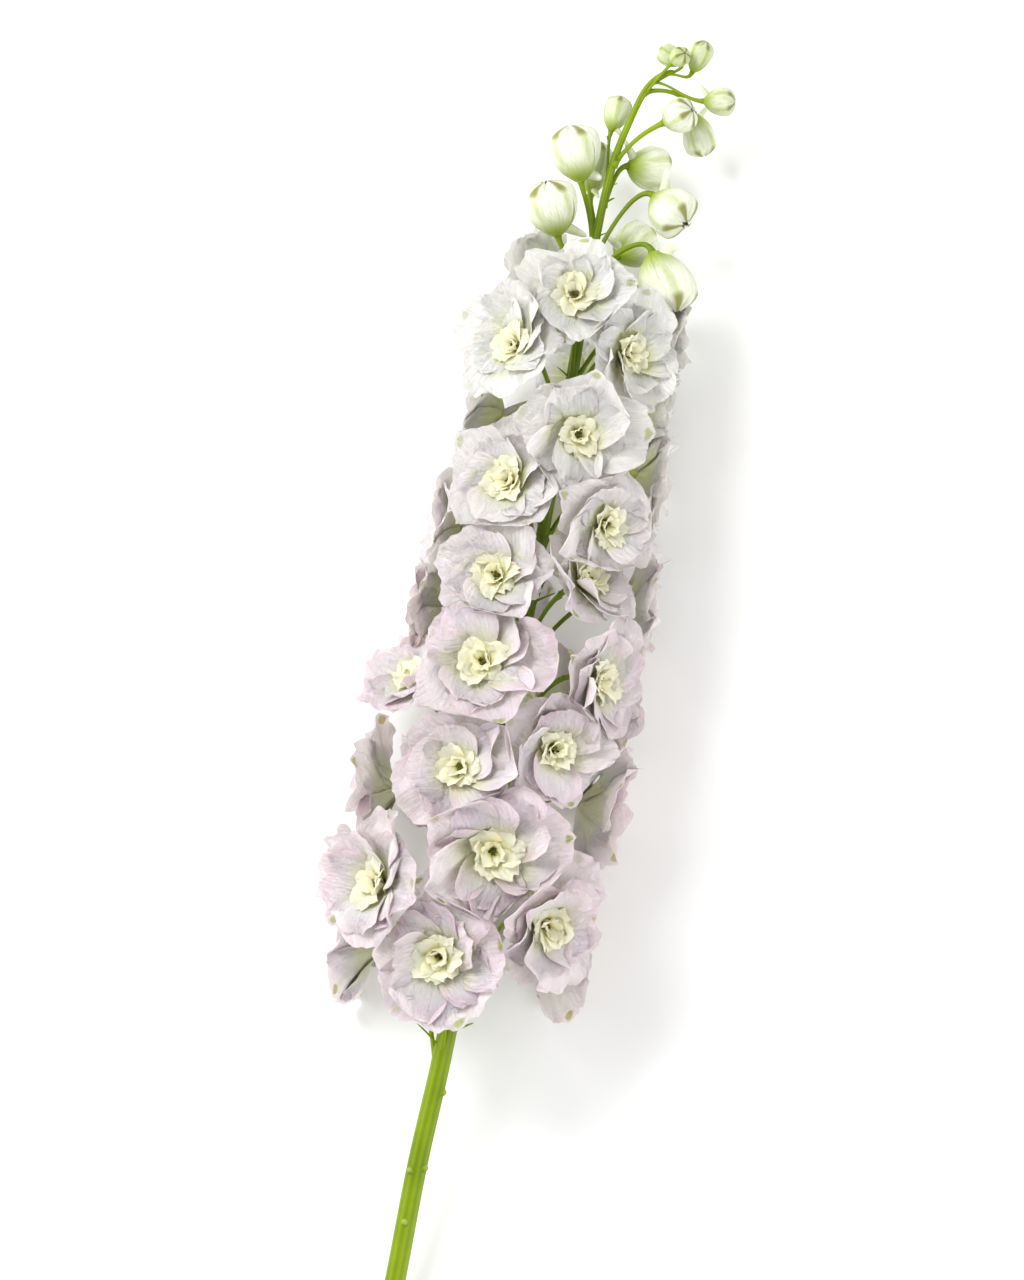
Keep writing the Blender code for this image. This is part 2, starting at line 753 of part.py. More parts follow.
def main():
    """Build the spike: stem, florets and buds."""
    clear_scene()
    petal_surface = material("petal", PETAL_COLOUR, 0.6)
    bud_surface = material("bud", BUD_COLOUR, 0.55)
    stem_surface = material("stem", STEM_COLOUR, 0.5)
    floret_places = [place_of_floret(f) for f in FLORETS]
    bud_places = [place_of_bud(b) for b in BUDS]
    give_walls(floret_places + bud_places)
    for place in floret_places:
        keep_off_stem(place)
    seats = [(p, HUB_DEPTH) for p in floret_places] + [(p, 0.0) for p in bud_places]
    parts = [make_stem(seats, stem_surface)]
    for k, floret in enumerate(FLORETS):
        parts.append(make_floret(k + 1, floret, floret_places[k], petal_surface))
    for k, bud in enumerate(BUDS):
        parts.append(make_bud(k + 1, bud, bud_places[k], bud_surface))
    stand_on_origin(parts)


main()
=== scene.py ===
"""Looks of a cut delphinium spike that lies on a pale surface, seen from straight above.

The stem runs along +Y, up from its cut end, and its tip bends to +X. Every floret is made of thin
ruffled sepals, inner petals, the frilled petals of its eye, its stamens and its spur, and every bud
of five folded sepals. Sizes are in millimetres and degrees in the stem's own frame, and become
metres in the shared frame where a mesh is made.
"""

import logging
import math
import random
from dataclasses import dataclass, field
from enum import Enum
from typing import ClassVar, Sequence

import bpy
import numpy as np
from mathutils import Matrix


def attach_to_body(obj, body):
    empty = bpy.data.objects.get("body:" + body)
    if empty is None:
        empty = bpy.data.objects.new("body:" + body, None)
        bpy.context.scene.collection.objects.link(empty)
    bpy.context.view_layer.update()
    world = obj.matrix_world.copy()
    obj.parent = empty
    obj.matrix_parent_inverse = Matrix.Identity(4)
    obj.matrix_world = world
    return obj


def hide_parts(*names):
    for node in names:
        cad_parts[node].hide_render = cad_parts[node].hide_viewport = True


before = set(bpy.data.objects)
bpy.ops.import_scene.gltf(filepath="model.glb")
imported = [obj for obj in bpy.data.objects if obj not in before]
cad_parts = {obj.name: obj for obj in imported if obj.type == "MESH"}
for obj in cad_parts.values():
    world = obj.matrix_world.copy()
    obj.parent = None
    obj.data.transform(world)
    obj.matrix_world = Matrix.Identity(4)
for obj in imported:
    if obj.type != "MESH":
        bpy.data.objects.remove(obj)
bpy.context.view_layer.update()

LOG = logging.getLogger("delphinium")
MM = 0.001
BODY = "root"
Array = np.ndarray
Colour = tuple[float, float, float, float]


def srgb(red: int, green: int, blue: int) -> Colour:
    """A display colour, 0 to 255 a channel, as the linear colour that a shader takes.

    Args:
        red: The red channel.
        green: The green channel.
        blue: The blue channel.

    Returns:
        The colour with an alpha of 1.
    """
    shares = [channel / 255 for channel in (red, green, blue)]
    linear = [((c + 0.055) / 1.055) ** 2.4 if c > 0.04045 else c / 12.92 for c in shares]
    return linear[0], linear[1], linear[2], 1.0


def unit(vector: Array) -> Array:
    """A vector or an array of vectors at length one."""
    length = np.linalg.norm(vector, axis=-1, keepdims=True)
    return vector / np.maximum(length, 1e-12)


# ---- the plan of the spike -----------------------------------------------------------------


@dataclass(frozen=True)
class SpinePoint:
    """A point of the stem's centre line: along it, across to +X, its height and its radius."""

    along: float
    across: float
    height: float
    radius: float


@dataclass(frozen=True)
class FloretRow:
    """Where a floret stands round the spine, how wide it is and which way it turns."""

    along: float
    around: float
    reach: float
    width: float
    turn: float
    lift: float


@dataclass(frozen=True)
class BudRow:
    """A bud's base and tip (across, along, above the spine), its width and how far it is open."""

    base: tuple[float, float, float]
    tip: tuple[float, float, float]
    width: float
    opening: float
    attach: float


SPINE_POINTS = (
    SpinePoint(-80, 0.0, 4.4, 4.75),
    SpinePoint(-66, 0.0, 4.7, 4.75),
    SpinePoint(0, 0.5, 16.5, 4.7),
    SpinePoint(50, 0.6, 26.5, 4.6),
    SpinePoint(100, 2.4, 36.0, 4.4),
    SpinePoint(170, 3.2, 43.0, 3.9),
    SpinePoint(257, 3.2, 46.0, 3.3),
    SpinePoint(340, 3.0, 45.0, 2.9),
    SpinePoint(413, 2.7, 42.0, 2.6),
    SpinePoint(464, 1.8, 39.0, 2.0),
    SpinePoint(502, 3.2, 37.0, 1.7),
    SpinePoint(524, 7.6, 36.0, 1.5),
    SpinePoint(537, 11.5, 35.5, 1.4),
    SpinePoint(544, 17.0, 35.0, 1.3),
    SpinePoint(547, 23.0, 34.5, 1.2),
)
# Above this height the stem bends over, and flowers take the spine's direction from here.
TIP_ALONG = 524.0

FLORET_ROWS = (
    FloretRow(151, -11, 46, 58, -10, -8),
    FloretRow(138, -115, 40, 52, -110, 0),
    FloretRow(172, 38, 47, 54, 42, -10),
    FloretRow(173, -50, 50, 56, -48, 5),
    FloretRow(150, 122, 38, 50, 118, 0),
    FloretRow(160, 180, 31, 50, 180, 26),
    FloretRow(198, 4, 46, 60, 8, -5),
    FloretRow(211, -105, 43, 54, -98, -10),
    FloretRow(222, 110, 40, 54, 104, -5),
    FloretRow(214, -160, 35, 50, -158, 20),
    FloretRow(229, -19, 45, 52, -20, 5),
    FloretRow(244, 25, 44, 50, 32, 0),
    FloretRow(258, -75, 41, 50, -60, 40),
    FloretRow(258, 160, 34, 50, 158, 22),
    FloretRow(274, -19, 43, 56, -15, 10),
    FloretRow(276, 45, 43, 52, 60, 0),
    FloretRow(268, 118, 38, 50, 115, 0),
    FloretRow(294, -100, 36, 52, -92, 0),
    FloretRow(298, -160, 34, 48, -158, 22),
    FloretRow(310, -21, 41, 48, -15, 15),
    FloretRow(313, 98, 40, 50, 92, 5),
    FloretRow(315, 31, 36, 48, 45, 30),
    FloretRow(329, -92, 36, 50, -84, 0),
    FloretRow(342, 33, 41, 48, 38, -5),
    FloretRow(338, 160, 33, 48, 158, 22),
    FloretRow(352, -26, 37, 50, -28, 5),
    FloretRow(362, -150, 28, 46, -148, 20),
    FloretRow(369, 98, 36, 46, 92, 0),
    FloretRow(377, 9, 39, 51, 10, 0),
    FloretRow(383, -105, 28, 46, -96, 5),
    FloretRow(398, 105, 34, 44, 98, -5),
    FloretRow(405, 172, 26, 44, 168, 25),
    FloretRow(411, -43, 34, 48, -40, 5),
    FloretRow(416, 35, 32, 46, 44, 5),
    FloretRow(438, 98, 34, 42, 92, 5),
    FloretRow(436, -8, 31, 44, -5, 8),
    FloretRow(450, -140, 25, 38, -135, 10),
)

BUD_ROWS = (
    BudRow((30.0, 548, 0), (33.5, 562, 3), 10.5, 0.0, 545),
    BudRow((21.0, 550, 6), (25.0, 554, 14), 8.5, 0.0, 528),
    BudRow((24.0, 551, -5), (14.5, 556, -11), 9.5, 0.0, 536),
    BudRow((37.5, 536, 0), (51.0, 538, 2), 12.5, 0.1, 540),
    BudRow((34.0, 530, -8), (42.0, 513, -12), 14.5, 0.1, 535),
    BudRow((22.0, 523, 5), (33.0, 530, 13), 15.5, 0.1, 500),
    BudRow((-0.5, 516, -6), (1.5, 532, -7), 12.0, 0.0, 488),
    BudRow((-9.5, 491, 2), (-18.5, 514, 4), 23.0, 0.3, 462),
    BudRow((-4.0, 487, -12), (-4.0, 511, -15), 13.0, 0.2, 466),
    BudRow((10.0, 502, -8), (28.0, 504, -16), 20.0, 0.5, 482),
    BudRow((23.5, 490, 6), (39.5, 480, 13), 22.5, 0.4, 456),
    BudRow((-15.0, 465, 9), (-24.5, 487, 13), 24.0, 0.4, 440),
    BudRow((27.5, 465, 9), (42.5, 440, 15), 25.5, 0.5, 450),
    BudRow((13.0, 462, -10), (25.0, 474, -22), 20.0, 0.6, 436),
)

# Where a leaf or a pedicel came away: along the stem, and round it from the top towards +X.
SCARS = ((84, 62), (49, 52), (47, -35), (24, -8), (-30, 100))


@dataclass(frozen=True)
class Spine:
    """The stem's centre line as one smooth curve through its points."""

    points: tuple[SpinePoint, ...] = SPINE_POINTS

    def at(self, along: float) -> tuple[Array, Array, float]:
        """The curve at a height along it.

        Args:
            along: The height along the stem, from the edge of the picture.

        Returns:
            The centre, the direction towards the tip and the radius there.
        """
        rows = self.points
        i = max(0, min(len(rows) - 2, sum(1 for p in rows[1:-1] if p.along <= along)))
        span = rows[i + 1].along - rows[i].along
        t = (along - rows[i].along) / span

        def value(name: str) -> tuple[float, float]:
            """One of the curve's values, and how fast it changes.

            Args:
                name: Which value of the points to follow.

            Returns:
                The value and its rate of change.
            """

            def slope(k: int) -> float:
                """The curve's slope at its point k."""
                low, high = rows[max(0, k - 1)], rows[min(len(rows) - 1, k + 1)]
                return (getattr(high, name) - getattr(low, name)) / (high.along - low.along)

            p, q = getattr(rows[i], name), getattr(rows[i + 1], name)
            m, n = slope(i) * span, slope(i + 1) * span
            here = (2 * t**3 - 3 * t**2 + 1) * p + (t**3 - 2 * t**2 + t) * m
            here += (3 * t**2 - 2 * t**3) * q + (t**3 - t**2) * n
            rate = (6 * t**2 - 6 * t) * (p - q) + (3 * t**2 - 4 * t + 1) * m + (3 * t**2 - 2 * t) * n
            return here, rate / span

        across, across_rate = value("across")
        height, height_rate = value("height")
        centre = np.array((across, along, height))
        return centre, unit(np.array((across_rate, 1.0, height_rate))), value("radius")[0]

    def sides(self, along: float) -> tuple[Array, Array]:
        """The spine's right and upper side at a height along it.

        Args:
            along: The height along the stem.

        Returns:
            The right side and the upper side.
        """
        direction = self.at(along)[1]
        right = unit(np.cross(direction, (0.0, 0.0, 1.0)))
        return right, unit(np.cross(right, direction))

    def out_at(self, along: float, angle: float) -> Array:
        """The direction away from the spine at an angle round it, from the top towards +X.

        Args:
            along: The height along the stem.
            angle: The angle in degrees.

        Returns:
            The direction, of length one.
        """
        right, upper = self.sides(along)
        turn = math.radians(angle)
        return math.sin(turn) * right + math.cos(turn) * upper


SPINE = Spine()


@dataclass
class Place:
    """Where a floret or a bud sits, and the walls of the space that is its own."""

    hub: Array
    out: Array
    up_hint: Array
    size: float
    attach: float
    centre: Array = field(default_factory=lambda: np.zeros(3))
    walls: list[tuple[Array, Array]] = field(default_factory=list)

    BEND_WIDTH: ClassVar[float] = 3.0

    def __post_init__(self) -> None:
        """Work out the place's own axes."""
        self.out = unit(self.out)
        self.right = unit(np.cross(self.up_hint, self.out))
        self.up = np.cross(self.out, self.right)

    def point(self, local: Array) -> Array:
        """Points of the place's own frame (right, up, out), in the stem's frame."""
        return self.hub + local @ np.stack((self.right, self.up, self.out))

    def soft_floor(self, value: Array) -> Array:
        """Values kept at zero or more, with a smooth bend.

        Args:
            value: The values.

        Returns:
            The values that are kept.
        """
        bend = (value + self.BEND_WIDTH) ** 2 / (4 * self.BEND_WIDTH)
        low = np.where(value <= -self.BEND_WIDTH, 0.0, bend)
        return np.where(value >= self.BEND_WIDTH, value, low)

    def bent_clear(self, points: Array, skin: float, clearance: float = -2.0) -> Array:
        """Points bent back inside the place's walls and up off the surface.

        Args:
            points: Points in the stem's frame, along the last axis.
            skin: Half the thickness that the points will get.
            clearance: How far inside the walls they stay.

        Returns:
            The moved points.
        """
        shape = points.shape
        moved = points.reshape(-1, 3)
        keep = clearance + skin
        for _ in range(2):
            for on_wall, normal in self.walls:
                inside = (moved - on_wall) @ normal - keep
                moved = moved + (self.soft_floor(inside) - inside)[:, None] * normal
        for on_wall, normal in self.walls:
            inside = (moved - on_wall) @ normal - keep
            depth = max(0.0, float((self.hub - on_wall) @ normal) - keep)
            share = np.where(inside < 0, depth / np.maximum(depth - inside, 1e-9), 1.0)
            moved = self.hub + (moved - self.hub) * share[:, None]
        above = moved[:, 2] - skin
        moved = np.column_stack((moved[:, :2], self.soft_floor(above) + skin))
        return moved.reshape(shape)


@dataclass
class Layout:
    """The places of all the florets and buds, parted by walls between neighbours."""

    layer_share: float = 2.2
    layer_least: float = 6.0
    centre_share: float = 0.1
    neighbour_share: float = 0.62
    neighbour_margin: float = 4.0
    pedicel_drop: float = 1.12
    stem_room: tuple[float, float] = (13.0, 6.5)
    stem_room_span: tuple[float, float] = (100.0, 464.0)
    florets: list[Place] = field(default_factory=list)
    buds: list[Place] = field(default_factory=list)

    def __post_init__(self) -> None:
        """Find every place and give it its walls."""
        self.florets = [self.floret_place(row) for row in FLORET_ROWS]
        self.buds = [self.bud_place(row) for row in BUD_ROWS]
        self.part_neighbours(self.florets + self.buds)
        for place in self.florets:
            self.keep_off_stem(place)

    def floret_place(self, row: FloretRow) -> Place:
        """The place of a floret.

        Args:
            row: The floret's row of the plan.

        Returns:
            Its place, with no walls yet.
        """
        centre, direction, _ = SPINE.at(row.along)
        hub = centre + SPINE.out_at(row.along, row.around) * row.reach
        lift = math.radians(row.lift)
        out = SPINE.out_at(row.along, row.turn) * math.cos(lift) + direction * math.sin(lift)
        place = Place(hub, out, direction, row.width, row.along - self.pedicel_drop * row.reach)
        place.centre = place.point(np.array((0.0, 0.0, self.centre_share * row.width)))
        return place

    def bud_place(self, row: BudRow) -> Place:
        """The place of a bud.

        Args:
            row: The bud's row of the plan.

        Returns:
            Its place, with no walls yet.
        """
        level = SPINE.at(min(row.base[1], SPINE_POINTS[-1].along))[0][2]
        hub = np.array((row.base[0], row.base[1], level + row.base[2]))
        far = np.array((row.tip[0], row.tip[1], level + row.tip[2]))
        direction = SPINE.at(min(row.base[1], TIP_ALONG))[1]
        place = Place(hub, far - hub, direction, row.width, row.attach)
        place.centre = (hub + far) / 2
        return place

    def part_neighbours(self, places: Sequence[Place]) -> None:
        """Part the space between neighbours with planes.

        Args:
            places: Every floret and bud.
        """
        for i, one in enumerate(places):
            for other in places[i + 1 :]:
                between = one.centre - other.centre
                near = self.neighbour_share * (one.size + other.size) + self.neighbour_margin
                if np.linalg.norm(between) > near:
                    continue
                middle = (one.centre + other.centre) / 2
                outward = (middle - SPINE.at(min(middle[1], TIP_ALONG))[0]) * np.array((1, 0, 1))
                normal = between.copy()
                if np.linalg.norm(outward) > self.layer_least:
                    outward = unit(outward)
                    normal = normal + outward * (self.layer_share - 1) * (between @ outward)
                normal = unit(normal)
                on_wall = other.centre + between * other.size / (one.size + other.size)
                one.walls.append((on_wall, normal))
                other.walls.append((on_wall, -normal))

    def keep_off_stem(self, place: Place) -> None:
        """Give a floret the wall between its petals and the stem with its pedicels.

        Args:
            place: The floret's place.
        """
        axis, direction, _ = SPINE.at(min(place.hub[1], TIP_ALONG))
        outward = place.hub - axis
        outward = unit(outward - direction * (outward @ direction))
        room = float(np.interp(place.hub[1], self.stem_room_span, self.stem_room))
        place.walls.append((axis + outward * room, outward))


END_SIDES = 8
END_DEPTH = 1.0


def frame_shift() -> Array:
    """How far the stem's frame lies from the shared frame, read from the stem's cut end.

    Returns:
        The shift in millimetres.
    """
    solid = bpy.data.objects["stem"].data
    places = np.empty(len(solid.vertices) * 3)
    solid.vertices.foreach_get("co", places)
    places = places.reshape(-1, 3) / MM
    low = places[:, 1].min()
    end = places[places[:, 1] < low + END_DEPTH]
    start = SPINE_POINTS[0]
    direction = SPINE.at(start.along)[1]
    lean = start.radius * math.cos(math.pi / END_SIDES) * abs(direction[2])
    return np.array((end[:, 0].mean() - start.across, low - (start.along - lean), 0.0))


# ---- meshes --------------------------------------------------------------------------------


# Faces that meet at a sharper turn than this keep a crisp edge.
SHARP_DEGREES = 62.0
# No path runs this way, so it can start the first ring of a tube.
OFF_PATH = (0.31, 0.17, 0.93)


def grid_quads(index: Array) -> Array:
    """The four-sided faces between the points of a grid, given the points' numbers."""
    corners = (index[:-1, :-1], index[:-1, 1:], index[1:, 1:], index[1:, :-1])
    return np.stack(corners, -1).reshape(-1, 4)


@dataclass
class Skin:
    """Closed sheets and tubes gathered into one mesh, with values over its surface."""

    name: str
    shift: Array
    points: list[Array] = field(default_factory=list)
    quads: list[Array] = field(default_factory=list)
    values: dict[str, list[Array]] = field(default_factory=dict)
    count: int = 0

    def _add(self, points: Array, quads: Array, values: dict[str, Array]) -> None:
        """Add points, their four-sided faces and their values.

        Args:
            points: The points, rows by three.
            quads: The numbers of the corners of each face.
            values: Values over the points, by name.
        """
        self.points.append(points)
        self.quads.append(quads + self.count)
        for name, value in values.items():
            self.values.setdefault(name, []).append(value)
        self.count += len(points)

    def sheet(self, middle: Array, half: Array, values: dict[str, Array]) -> None:
        """Add a thin closed sheet round a grid of points.

        Args:
            middle: The sheet's middle surface, rows by columns by three.
            half: Half its thickness at each point.
            values: Values over the grid, by name.
        """
        rows, columns = middle.shape[:2]
        normal = unit(np.cross(np.gradient(middle, axis=1), np.gradient(middle, axis=0)))
        front, back = middle + normal * half[..., None], middle - normal * half[..., None]
        index = np.arange(rows * columns).reshape(rows, columns)
        face = grid_quads(index)
        rim = np.concatenate((index[0, :], index[1:, -1], index[-1, -2::-1], index[-2:0:-1, 0]))
        after = np.roll(rim, -1)
        other = rows * columns
        side = np.stack((after, rim, rim + other, after + other), -1)
        quads = np.concatenate((face, face[:, ::-1] + other, side))
        both = {name: np.tile(value.reshape(-1), 2) for name, value in values.items()}
        both["back"] = np.repeat((0.0, 1.0), other)
        self._add(np.concatenate((front.reshape(-1, 3), back.reshape(-1, 3))), quads, both)

    def tube(self, rings: Array, values: dict[str, Array]) -> None:
        """Add a closed tube through rings of points.

        Args:
            rings: The points, rows by an even number of sides by three.
            values: Values over the points, by name.
        """
        rows, sides = rings.shape[:2]
        index = np.arange(rows * sides).reshape(rows, sides)
        after = np.roll(index, -1, axis=1)
        quads = np.stack((index[:-1], after[:-1], after[1:], index[1:]), -1).reshape(-1, 4)
        caps = []
        for ring, flip in ((index[0], True), (index[-1], False)):
            for k in range(0, sides - 2, 2):
                corner = (ring[0], ring[k + 1], ring[k + 2], ring[k + 3])
                caps.append(corner[::-1] if flip else corner)
        self._add(rings.reshape(-1, 3), np.concatenate((quads, np.array(caps))), values)

    def piece(
        self, finish: bpy.types.Material, nodes: Sequence[str] = ()
    ) -> bpy.types.Object:
        """Make the mesh's object, with its finish, and say what it rides on.

        Args:
            finish: The material it is dressed in.
            nodes: The solids that it stands for.

        Returns:
            The new object.
        """
        mesh = bpy.data.meshes.new(self.name)
        points = (np.concatenate(self.points) + self.shift) * MM
        quads = np.concatenate(self.quads).astype(np.int32)
        mesh.vertices.add(len(points))
        mesh.vertices.foreach_set("co", points.astype(np.float32).reshape(-1))
        mesh.loops.add(quads.size)
        mesh.loops.foreach_set("vertex_index", quads.reshape(-1))
        mesh.polygons.add(len(quads))
        mesh.polygons.foreach_set("loop_start", np.arange(0, quads.size, 4, dtype=np.int32))
        mesh.update(calc_edges=True)
        mesh.shade_smooth()
        mesh.set_sharp_from_angle(angle=math.radians(SHARP_DEGREES))
        for name, value in self.values.items():
            layer = mesh.attributes.new(name, "FLOAT", "POINT")
            layer.data.foreach_set("value", np.concatenate(value).astype(np.float32))
        mesh.materials.append(finish)
        made = bpy.data.objects.new(self.name, mesh)
        bpy.context.scene.collection.objects.link(made)
        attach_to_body(made, BODY)
        if nodes:
            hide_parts(*nodes)
        LOG.info("%s: %d faces", self.name, len(quads))
        return made


def swept(path: Array, radii: Array, sides: int) -> Array:
    """Rings of a round tube along a path, turned no more than they must be.

    Args:
        path: The tube's centre line, rows by three.
        radii: The radius at each row.
        sides: The points of each ring.

    Returns:
        The rings, rows by sides by three.
    """
    ways = unit(np.gradient(path, axis=0))
    right = np.cross(ways[0], OFF_PATH)
    angles = 2 * math.pi * np.arange(sides) / sides
    rings = []
    for centre, way, radius in zip(path, ways, radii):
        right = unit(right - way * (right @ way))
        upper = np.cross(way, right)
        around = np.cos(angles)[:, None] * right + np.sin(angles)[:, None] * upper
        rings.append(centre + radius * around)
    return np.array(rings)


# ---- finishes ------------------------------------------------------------------------------


class Nodes:
    """A short way to place and join shader nodes."""

    def __init__(self, tree: bpy.types.NodeTree) -> None:
        """Keep the tree that the nodes go into."""
        self.tree = tree

    def add(
        self, kind: str, settings: dict[str, object] | None = None, **inputs: object
    ) -> bpy.types.Node:
        """Place a node.

        Args:
            kind: The node's type.
            settings: Values for the node itself.
            inputs: Values or sockets for its inputs, by name with _ for a space.

        Returns:
            The node.
        """
        node = self.tree.nodes.new(kind)
        for name, value in (settings or {}).items():
            setattr(node, name, value)
        for name, value in inputs.items():
            self.put(node.inputs[name.replace("_", " ")], value)
        return node

    def put(self, socket: bpy.types.NodeSocket, value: object) -> None:
        """Join a socket to an input, or set the input's value.

        Args:
            socket: The input.
            value: A socket to join or a plain value.
        """
        if isinstance(value, bpy.types.NodeSocket):
            self.tree.links.new(value, socket)
        else:
            socket.default_value = value

    def value(self, name: str) -> bpy.types.NodeSocket:
        """A value over the surface, by its name."""
        return self.add("ShaderNodeAttribute", {"attribute_name": name}).outputs["Fac"]

    def math(self, operation: str, *terms: object) -> bpy.types.NodeSocket:
        """A sum, product or other operation on values.

        Args:
            operation: The operation's name.
            terms: The values or sockets that it takes.

        Returns:
            The result.
        """
        node = self.tree.nodes.new("ShaderNodeMath")
        node.operation = operation
        for socket, term in zip(node.inputs, terms):
            self.put(socket, term)
        return node.outputs[0]

    def ramp(self, value: object, low: float, high: float) -> bpy.types.NodeSocket:
        """A smooth step from 0 at low to 1 at high.

        Args:
            value: The value that climbs.
            low: Where the step starts.
            high: Where it ends.

        Returns:
            The step.
        """
        node = self.tree.nodes.new("ShaderNodeMapRange")
        node.interpolation_type = "SMOOTHSTEP"
        for name, term in (("Value", value), ("From Min", low), ("From Max", high)):
            self.put(node.inputs[name], term)
        return node.outputs["Result"]

    def step_down(self, value: object, low: float, high: float) -> bpy.types.NodeSocket:
        """A smooth step from 1 at low to 0 at high."""
        return self.math("SUBTRACT", 1.0, self.ramp(value, low, high))

    def linear(self, value: object, slope: float, start: float) -> bpy.types.NodeSocket:
        """A value times a slope, added to a start."""
        return self.math("ADD", start, self.math("MULTIPLY", value, slope))

    def spot(self, x: object, y: object, z: object) -> bpy.types.NodeSocket:
        """A place made of three values."""
        return self.add("ShaderNodeCombineXYZ", None, X=x, Y=y, Z=z).outputs[0]

    def noise(
        self, place: object, scale: object, detail: float, roughness: float = 0.5
    ) -> bpy.types.NodeSocket:
        """Soft noise over a place."""
        settings = {"Vector": place, "Scale": scale, "Detail": detail, "Roughness": roughness}
        return self.add("ShaderNodeTexNoise", None, **settings).outputs["Fac"]

    def mix(self, share: object, one: object, other: object) -> bpy.types.NodeSocket:
        """A mix of two colours.

        Args:
            share: How much of the other colour.
            one: The first colour.
            other: The other colour.

        Returns:
            The mixed colour.
        """
        node = self.tree.nodes.new("ShaderNodeMix")
        node.data_type = "RGBA"
        for number, term in ((0, share), (6, one), (7, other)):
            self.put(node.inputs[number], term)
        return node.outputs[2]

    def group(self, tree: bpy.types.NodeTree, **inputs: object) -> bpy.types.Node:
        """Place a node group.

        Args:
            tree: The group.
            inputs: Values or sockets for its inputs, by name with _ for a space.

        Returns:
            The node that holds the group.
        """
        node = self.tree.nodes.new("ShaderNodeGroup")
        node.node_tree = tree
        for name, value in inputs.items():
            self.put(node.inputs[name.replace("_", " ")], value)
        return node


def new_group(
    name: str, inputs: dict[str, float], outputs: Sequence[str]
) -> tuple[bpy.types.NodeTree, Nodes]:
    """A node group with named values in and out.

    Args:
        name: The group's name.
        inputs: Its inputs and their usual values.
        outputs: Its outputs.

    Returns:
        The group and the nodes inside it.
    """
    tree = bpy.data.node_groups.new(name, "ShaderNodeTree")
    for title, usual in inputs.items():
        socket = tree.interface.new_socket(title, in_out="INPUT", socket_type="NodeSocketFloat")
        socket.default_value = usual
    for title in outputs:
        tree.interface.new_socket(title, in_out="OUTPUT", socket_type="NodeSocketFloat")
    return tree, Nodes(tree)


@dataclass(frozen=True)
class FineVeins:
    """Fine veins that run from a petal's claw to its margin and fork as it widens."""

    run: float = 2.2
    shuffle: float = 17.0
    line_half: float = 0.05
    streak_share: float = 0.28
    line_relief: float = 0.4

    def build(self) -> bpy.types.NodeTree:
        """Build the shader group.

        Returns:
            The group.
        """
        usual = {"Along": 0.0, "Across": 0.0, "Seed": 0.0, "Fineness": 16.0}
        tree, nodes = new_group("fine veins", usual, ("Vein", "Streak", "Relief"))
        given = nodes.add("NodeGroupInput").outputs
        run = nodes.math("MULTIPLY", given["Along"], self.run)
        seed = nodes.math("MULTIPLY", given["Seed"], self.shuffle)
        side = nodes.math("MULTIPLY", given["Across"], given["Fineness"])
        fine = nodes.noise(nodes.spot(run, side, seed), 1.0, 3.0, 0.6)
        ridge = nodes.math("ABSOLUTE", nodes.math("SUBTRACT", fine, 0.5))
        vein = nodes.math("SUBTRACT", 1.0, nodes.ramp(ridge, 0.0, self.line_half))
        broad = nodes.math("MULTIPLY", given["Fineness"], self.streak_share)
        wide = nodes.math("MULTIPLY", given["Across"], broad)
        streak = nodes.noise(nodes.spot(run, wide, seed), 1.0, 2.0)
        relief = nodes.math("ADD", nodes.math("MULTIPLY", vein, self.line_relief), streak)
        out = nodes.add("NodeGroupOutput")
        for title, socket in (("Vein", vein), ("Streak", streak), ("Relief", relief)):
            nodes.put(out.inputs[title], socket)
        return tree


def veined(nodes: Nodes, veins: bpy.types.NodeTree, fineness: float) -> bpy.types.NodeOutputs:
    """The fine veins over a piece, from its own values along and across each petal.

    Args:
        nodes: The nodes of the finish.
        veins: The group of fine veins.
        fineness: How many veins cross a petal.

    Returns:
        The group's outputs, by name.
    """
    terms = {name.title(): nodes.value(name) for name in ("along", "across", "seed")}
    return nodes.group(veins, Fineness=fineness, **terms).outputs


@dataclass(frozen=True)
class SoftMottle:
    """Soft uneven patches and fine grain over a fresh surface."""

    patch_edge: tuple[float, float] = (0.3, 0.7)

    def build(self) -> bpy.types.NodeTree:
        """Build the shader group.

        Returns:
            The group.
        """
        usual = {"Patch": 60.0, "Grain": 900.0}
        tree, nodes = new_group("soft mottle", usual, ("Patches", "Pores"))
        given = nodes.add("NodeGroupInput").outputs
        place = nodes.add("ShaderNodeTexCoord").outputs["Object"]
        patch = nodes.noise(place, given["Patch"], 3.0)
        out = nodes.add("NodeGroupOutput")
        nodes.put(out.inputs["Patches"], nodes.ramp(patch, *self.patch_edge))
        nodes.put(out.inputs["Pores"], nodes.noise(place, given["Grain"], 2.0))
        return tree


